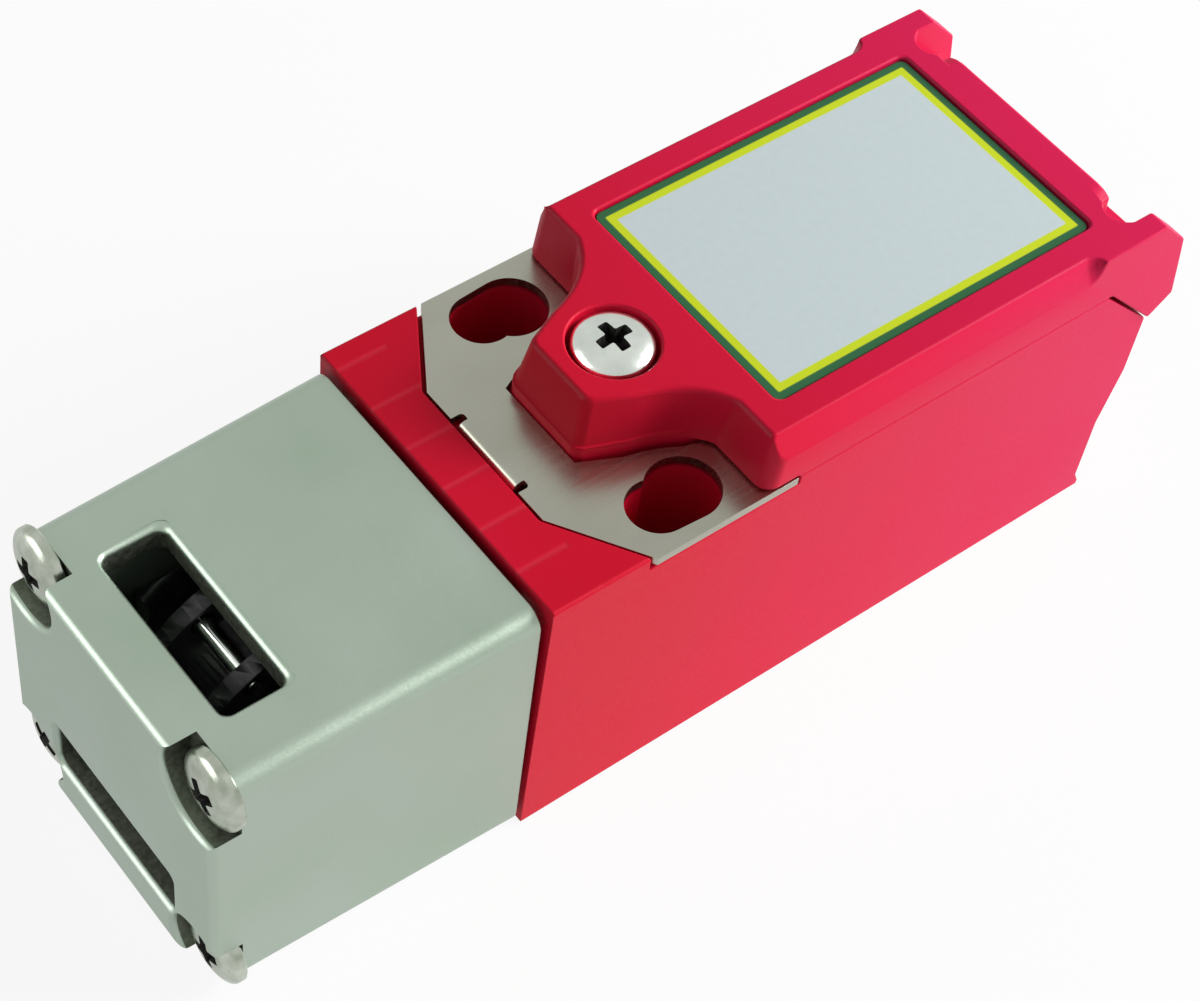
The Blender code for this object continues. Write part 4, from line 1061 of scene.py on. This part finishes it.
class SWITCH_OT_body_moulding(bpy.types.Operator):
    """Models the red body with its chamber, bores and shallow mould lines"""

    bl_idname = "switch.body_moulding"
    bl_label = "Body moulding"

    def execute(self, context):
        sizes = context.scene.switch_body
        low, high, _ = bounds_of("body")
        front, rear, strip, rim = low.x, high.x, high.z, 25.1 * MM
        width = 25 * MM
        above = strip + 1 * MM
        step = along(17.3)
        profile = [
            (front, 0), (rear - 0.5 * MM, 0), (rear - 0.5 * MM, 0.5 * MM), (rear - 1.0 * MM, 1.5 * MM),
            (rear - 1.0 * MM, 8.0 * MM), (rear, 13.6 * MM), (rear, rim),
            (step, rim), (step, strip), (front, strip),
        ]
        piece = drawn("body_moulding", standing(profile, -width / 2), (0, width, 0))
        near = 0.01 * MM
        for level in sorted({z for _, z in profile}):
            wider = 1 + 2 * sizes.draft / width * level / rim
            resize(piece, lambda v: abs(v.co.z - level) < near, (1, wider, 1), (0, 0, 0))
        round_edges(piece, lambda e: spans(e, 0) and lies(e, 2, strip), 0.3 * MM, 4)
        round_edges(piece, lambda e: spans(e, 2) and lies(e, 0, front), 0.3 * MM, 4)

        bed = 24.25 * MM
        carve(piece, drawn("plate bed", raised(plate_line(0.32 * MM), bed), (0, 0, above - bed)))
        nose = along(4.1)
        carve(piece, block(
            "tab slot", (nose - 0.2 * MM, -3.4 * MM, 21.65 * MM), (nose + 1.4 * MM, 3.4 * MM, above)))
        for side in (1, -1):
            seam, drop = along(49.1), 6 * MM
            wedge = [
                (seam - 1.5 * MM, rim + 1.5 * MM), (seam + drop, rim - drop), (rear + 1 * MM, rim - drop),
                (rear + 1 * MM, rim + 1.5 * MM),
            ]
            carve(piece, drawn("ear seat", standing(wedge, side * 11 * MM), (0, side * 14 * MM, 0)))
        soften(piece, sizes.edge, 30)
        carve(piece, self.well("chamber", 2.2 * MM))
        ring = self.well("gasket groove", 24.1 * MM, 1.45 * MM)
        carve(ring, self.well("groove inside", 24.1 * MM, 0.35 * MM))
        carve(piece, ring)
        for side in (1, -1):
            carve(piece, drawn("fixing way", raised(pear(side), -1 * MM), (0, 0, above + 1 * MM)))
        for y, z, _ in HEAD_SPOTS.values():
            carve(piece, drum("screw way", SCREW_WAY, "X", front - 1 * MM, along(5.8), (y, z), 32))
        outside = [(front - 1 * MM, y, z) for y, z in head_cross(1.2 * MM)]
        inside = [(front - 2 * MM, y, z) for y, z in head_cross(0.3 * MM)]
        groove = drawn("seal groove", outside, (2.1 * MM, 0, 0))
        carve(groove, drawn("seal island", inside, (4 * MM, 0, 0)))
        carve(piece, groove)
        rod = (0, MIDDLE_HEIGHT)
        carve(piece, drum("plunger way", 2.0 * MM, "X", front - 1 * MM, along(23.7), rod, 40))
        carve(piece, drum("bush seat", 3.5 * MM, "X", front - 1 * MM, along(3.7), rod, 48))
        insert_low, insert_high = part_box("lid_insert")
        spot = ((insert_low.x + insert_high.x) / 2, 0)
        carve(piece, drum("insert seat", 2.7 * MM, "Z", insert_low.z - 0.3 * MM, above, spot, 48))
        carve(piece, drum("cable way", 4.5 * MM, "X", along(50.7), rear + 1 * MM, CABLE_WAY))
        carve(piece, drum("cable face", 5.3 * MM, "X", rear - 1 * MM, rear + 1 * MM, CABLE_WAY))

        smooth(piece)
        complete(piece, "body", look="lined moulding")
        return {"FINISHED"}

    def well(self, name, floor, wider=0.0):
        """A cutter like the chamber, made wider all round, that reaches down to its floor."""
        low = (CHAMBER_FRONT - wider, -CHAMBER_HALF - wider, floor)
        high = (CHAMBER_REAR + wider, CHAMBER_HALF + wider, 27 * MM)
        cutter = block(name, low, high)
        round_edges(cutter, lambda e: spans(e, 2), CHAMBER_CORNER + wider, 6)
        return cutter


def plate_line(grow=0.0):
    """Outline of the plate, grown outwards."""
    front, rear = along(4.1) - grow, along(20.3) + grow
    nose_half, chamfer = 6.4 * MM, 4.3 * MM
    slope = (PLATE_HALF - nose_half) / chamfer
    half = PLATE_HALF + grow * 5
    nose = nose_half + grow * (math.hypot(1, slope) - slope)
    side = [(front, nose), (front + (half - nose) / slope, half), (rear, half)]
    return side + [(x, -y) for x, y in reversed(side)]


class SWITCH_OT_fixing_plate(bpy.types.Operator):
    """Models the stamped steel plate with its pear-shaped slots and bent tab"""

    bl_idname = "switch.fixing_plate"
    bl_label = "Fixing plate"

    def execute(self, context):
        sizes = context.scene.switch_plate
        low, high, _ = bounds_of("mounting_plate")
        top = high.z
        thick = 0.7 * MM
        base = top - thick
        piece = drawn("fixing_plate", raised(plate_line(), base), (0, 0, thick))
        front, tab = along(4.1), sizes.tab_half
        bend, joint = sizes.bend, front + sizes.bend + 0.6 * MM
        reach = tab + sizes.relief
        corner = (joint - 0.45 * MM, reach, top + 1 * MM)
        relief = block("tab relief", (front - 1 * MM, -reach, base - 1 * MM), corner)
        round_edges(relief, lambda e: spans(e, 2) and within(e, 0, front, front + 2 * MM), 0.28 * MM, 5)
        carve(piece, relief)
        hub = (front + bend, top - bend)
        profile = [(joint, top)] + arc(hub, bend, math.pi / 2, math.pi, 10)
        profile += [(front, low.z), (front + thick, low.z)]
        profile += arc(hub, bend - thick, math.pi, math.pi / 2, 6) + [(joint, base)]
        add_to(piece, drawn("tab", standing(profile, -tab), (0, 2 * tab, 0)))
        soften(piece, sizes.edge, 50)
        opening = symmetric(BOSS_WAY, 0.3 * MM, 0.35 * MM)
        last = (along(FOOT_END[0]) + 0.35 * MM, FOOT_END[1] * MM + 0.35 * MM)
        half = len(opening) // 2
        opening = opening[:half] + [last, (last[0], -last[1])] + opening[half:]
        carve(piece, drawn("boss way", raised(opening, base - 1 * MM), (0, 0, 3 * MM)))
        for side in (1, -1):
            carve(piece, drawn("fixing slot", raised(pear(side), base - 1 * MM), (0, 0, 3 * MM)))
        smooth(piece)
        complete(piece, "mounting_plate")
        return {"FINISHED"}


class SWITCH_OT_lid_cover(bpy.types.Operator):
    """Models the hinged lid with its screw boss, side bevels, ears and label recess"""

    bl_idname = "switch.lid_cover"
    bl_label = "Lid cover"

    def execute(self, context):
        sizes = context.scene.switch_lid
        _, high, _ = bounds_of("lid")
        top, half, bottom = high.z, high.y, 25.3 * MM
        foot, step = 25.45 * MM, along(20.4)
        profile = [(along(17.25), foot), (along(17.9), top)]
        ear = ((53.1, 30.2), (55.7, 27.5), (56.2, 24.5), (56.7, 21.3), (54.7, 19.7))
        profile += [(along(x), z * MM) for x, z in ear]
        profile += [(along(49.3), bottom), (step, bottom), (step, foot)]
        piece = drawn("lid_cover", standing(profile, -half), (0, 2 * half, 0))
        round_edges(
            piece, lambda e: within(e, 0, along(17), along(18.2)) and not spans(e, 1), sizes.corner, 5)

        def crown(part, start, end):
            round_edges(part, lambda e: lies(e, 2, top) and within(e, 0, start, end), sizes.crown, 4)

        crown(piece, along(17), along(19.5))

        feet, tops = symmetric(BOSS_FOOT + [(21, 8.6)]), symmetric(BOSS_TOP + [(21, 9.2)])
        boss = drawn("screw boss", raised(feet, foot), (0, 0, top - foot))
        near = 0.001 * MM
        for below, above in zip(feet, tops):
            choose(boss, "VERT", lambda v: v.co.z > foot + near and math.dist(v.co.xy, below) < near)
            bpy.ops.transform.translate(value=(above[0] - below[0], above[1] - below[1], 0))
        bpy.ops.object.mode_set(mode="OBJECT")
        crown(boss, along(8), along(19))
        add_to(piece, boss)
        base = symmetric(FOOT_SIDE + [FOOT_END])
        add_to(piece, drawn("boss foot", raised(base, 24.5 * MM), (0, 0, 1.8 * MM)))

        rear, shelf, tip = along(51.9), 26.3 * MM, along(58)
        body_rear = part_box("body")[1].x
        between = [
            (rear, top + 2 * MM), (rear, top), (rear + 0.3 * MM, top - 0.4 * MM), (rear + 0.5 * MM, shelf),
            (body_rear - 0.3 * MM, shelf), (body_rear - 0.3 * MM, bottom), (along(49.3), bottom),
            (along(49.3), 18 * MM), (tip, 18 * MM), (tip, top + 2 * MM),
        ]
        carve(piece, drawn("between ears", standing(between, -11.3 * MM), (0, 22.6 * MM, 0)))
        curve = arc((51.85, 9.85), 1.45, -math.pi * 0.45, -math.pi * 1.5, 14)
        hollow = [(53.4, 8.3), (51.8, 8.4)] + curve[1:]
        hollow = [point for point in hollow if point[1] < 11.2] + [(51.4, 11.3), (53.4, 11.3)]
        drop, slant = 2.0 * MM, 1.0 * MM
        for side in (1, -1):
            carve(piece, drawn("scallop", raised(placed(hollow, side), shelf), (0, 0, 8 * MM)))
            slope = [(7.0, 0.0), (7.0, 1.0), (9.5, 1.0), (9.5, -1.2)]
            slope = [(along(51), side * y * MM, top + z * MM) for y, z in slope]
            carve(piece, drawn("corner slope", slope, (2 * MM, 0, 0)))
            wedge = [
                (half - slant * 1.5, top + drop / 2), (half + slant / 2, top - drop * 1.5),
                (half + 2 * MM, top - drop * 1.5), (half + 2 * MM, top + drop / 2),
            ]
            wedge = [(along(8), side * y, z) for y, z in wedge]
            carve(piece, drawn("side bevel", wedge, (along(46) - along(8), 0, 0)))
            down = Vector((0, side * slant, -drop)).normalized()
            out = Vector((0, side * drop, slant)).normalized()
            radius = 1.3 * MM
            middle = Vector((along(46), side * (half - slant / 2), top - drop / 2))
            sweep = spun("bevel end", [(0, 6 * MM), (radius, 6 * MM), (radius, 0), (0, 0)], 28)
            carve(piece, stand(sweep, down, middle + out * radius - down * 3 * MM))

        soften(piece, sizes.edge, 30, 0.05 * MM)
        corner = (along(48.5), CHAMBER_HALF, top - 1.8 * MM)
        pocket = block("lid pocket", (along(23), -CHAMBER_HALF, 24 * MM), corner)
        round_edges(pocket, lambda e: spans(e, 2), CHAMBER_CORNER, 6)
        middle = (LABEL_LOW + LABEL_HIGH) / 2
        half_x, half_y = (LABEL_HIGH.x - LABEL_LOW.x) / 2 + 0.12 * MM, LABEL_HIGH.y + 0.12 * MM
        recess = rimmed("label recess", half_x, half_y, 0.7 * MM, sizes.label_depth, 0.22 * MM)
        stand(recess, (0, 0, 1), (middle.x, 0, top))
        screw = bounds_of("lid_screw")[2]
        seat = 28.15 * MM
        way = drum("screw way", 1.75 * MM, "Z", 20 * MM, top + 1 * MM, (screw.x, 0), 40)
        bore = flared("counterbore", sizes.bore, top - seat, 0.2 * MM)
        stand(bore, (0, 0, 1), (screw.x, 0, seat))
        carve(piece, pocket, recess, way, bore)
        smooth(piece)
        complete(piece, "lid")
        return {"FINISHED"}


class SWITCH_OT_label_film(bpy.types.Operator):
    """Models the thin label film in the recess of the lid"""

    bl_idname = "switch.label_film"
    bl_label = "Label film"

    def execute(self, context):
        piece = block("label_film", LABEL_LOW, LABEL_HIGH)
        round_edges(piece, lambda e: spans(e, 2), 0.6 * MM, 8)
        round_edges(piece, lambda e: lies(e, 2, LABEL_HIGH.z), 0.05 * MM, 2)
        smooth(piece)
        complete(piece, "label")
        return {"FINISHED"}


class SWITCH_OT_inner_pieces(bpy.types.Operator):
    """Smooths the inner pieces and gives each its detailed finish"""

    bl_idname = "switch.inner_pieces"
    bl_label = "Inner pieces"

    def execute(self, context):
        for name, node in NODES.items():
            if node.hide_render:
                continue
            piece = copy_of(node, name + "_piece")
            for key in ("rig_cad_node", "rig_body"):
                if key in piece:
                    del piece[key]
            piece.parent = None
            smooth(piece)
            complete(piece, name)
        return {"FINISHED"}


def area_lamp(name, place, target, side, power):
    """A square lamp that faces a target."""
    clear_selection()
    bpy.ops.object.light_add(type="AREA", location=place)
    lamp = bpy.context.object
    lamp.name = name
    lamp.data.shape = "SQUARE"
    lamp.data.size = side
    lamp.data.energy = power
    lamp.rotation_euler = (Vector(target) - Vector(place)).to_track_quat("-Z", "Y").to_euler()
    return lamp


class SWITCH_OT_stage(bpy.types.Operator):
    """Sets the pale floor, the soft lamps and the camera"""

    bl_idname = "switch.stage"
    bl_label = "Stage"

    def execute(self, context):
        settings = context.scene.switch_stage
        self.floor()
        context.scene.world = self.surround(settings)
        middle = (0, 0, 12 * MM)
        area_lamp("soft box", (0.43, -0.22, 0.27), middle, 0.25, settings.soft_box)
        card = area_lamp("rim card", (-0.40, 0.225, 0.22), middle, 0.4, settings.rim_card)
        card.visible_diffuse = False
        context.scene.camera = self.camera(settings)
        context.scene.view_settings.view_transform = "Standard"
        return {"FINISHED"}

    def floor(self):
        """A wide floor, just under the switch."""
        clear_selection()
        bpy.ops.mesh.primitive_plane_add(size=4, location=(0, 0, -0.05 * MM))
        floor = settle("floor")
        floor.data.materials.append(pale_paper())

    def surround(self, settings):
        """A plain world, softer on dull faces than in mirroring ones."""
        world = bpy.data.worlds.new("Plain surround")
        world.use_nodes = True
        tree = world.node_tree
        plain = tree.nodes["Background"]
        plain.inputs["Color"].default_value = (0.98, 1.0, 0.98, 1)
        path = tree.nodes.new("ShaderNodeLightPath")
        level = tree.nodes.new("ShaderNodeMapRange")
        level.inputs["To Min"].default_value = settings.surround
        level.inputs["To Max"].default_value = settings.fill
        tree.links.new(path.outputs["Is Diffuse Ray"], level.inputs["Value"])
        tree.links.new(level.outputs["Result"], plain.inputs["Strength"])
        return world

    def camera(self, settings):
        """The camera, solved from the straight edges of the switch."""
        clear_selection()
        bpy.ops.object.camera_add()
        camera = bpy.context.object
        camera.name = "camera"
        place = Vector((-0.0885518, -0.0884691, 0.1714257))
        right = Vector((0.794501, -0.602192, 0.078317))
        down = Vector((-0.439538, -0.659247, -0.610082))
        forward = Vector((0.419017, 0.450288, -0.788458))
        turn = Matrix((right, -down, -forward)).transposed().to_quaternion()
        camera.matrix_world = Matrix.LocRotScale(place, turn, None)
        camera.data.lens = settings.lens
        camera.data.sensor_width = 36
        camera.data.shift_x = 0.050048
        camera.data.shift_y = -0.000435
        camera.data.clip_start = 10 * MM
        return camera


OPERATORS = [
    SWITCH_OT_head_casting, SWITCH_OT_screws, SWITCH_OT_body_moulding, SWITCH_OT_fixing_plate,
    SWITCH_OT_lid_cover, SWITCH_OT_label_film, SWITCH_OT_inner_pieces, SWITCH_OT_stage,
]


class SWITCH_PT_pieces(bpy.types.Panel):
    """Lists the steps that dress the switch"""

    bl_label = "Safety interlock switch"
    bl_idname = "SWITCH_PT_pieces"
    bl_space_type = "VIEW_3D"
    bl_region_type = "UI"
    bl_category = "Switch"

    def draw(self, context):
        for operator in OPERATORS:
            self.layout.operator(operator.bl_idname)
        for group in GROUPS:
            settings = getattr(context.scene, group)
            box = self.layout.box()
            for name in settings.bl_rna.properties.keys():
                if name not in ("rna_type", "name"):
                    box.prop(settings, name)


GROUPS = {
    "switch_head": HeadSettings, "switch_screws": ScrewSettings, "switch_body": BodySettings,
    "switch_plate": PlateSettings, "switch_lid": LidSettings, "switch_label": LabelSettings,
    "switch_stage": StageSettings,
}


def register():
    for group, kind in GROUPS.items():
        bpy.utils.register_class(kind)
        setattr(bpy.types.Scene, group, PointerProperty(type=kind))
    for operator in OPERATORS:
        bpy.utils.register_class(operator)
    bpy.utils.register_class(SWITCH_PT_pieces)


def unregister():
    bpy.utils.unregister_class(SWITCH_PT_pieces)
    for operator in reversed(OPERATORS):
        bpy.utils.unregister_class(operator)
    for group, kind in GROUPS.items():
        delattr(bpy.types.Scene, group)
        bpy.utils.unregister_class(kind)


def main():
    register()
    for operator in OPERATORS:
        group, action = operator.bl_idname.split(".")
        getattr(getattr(bpy.ops, group), action)()
    clear_selection()


if __name__ == "__main__":
    main()
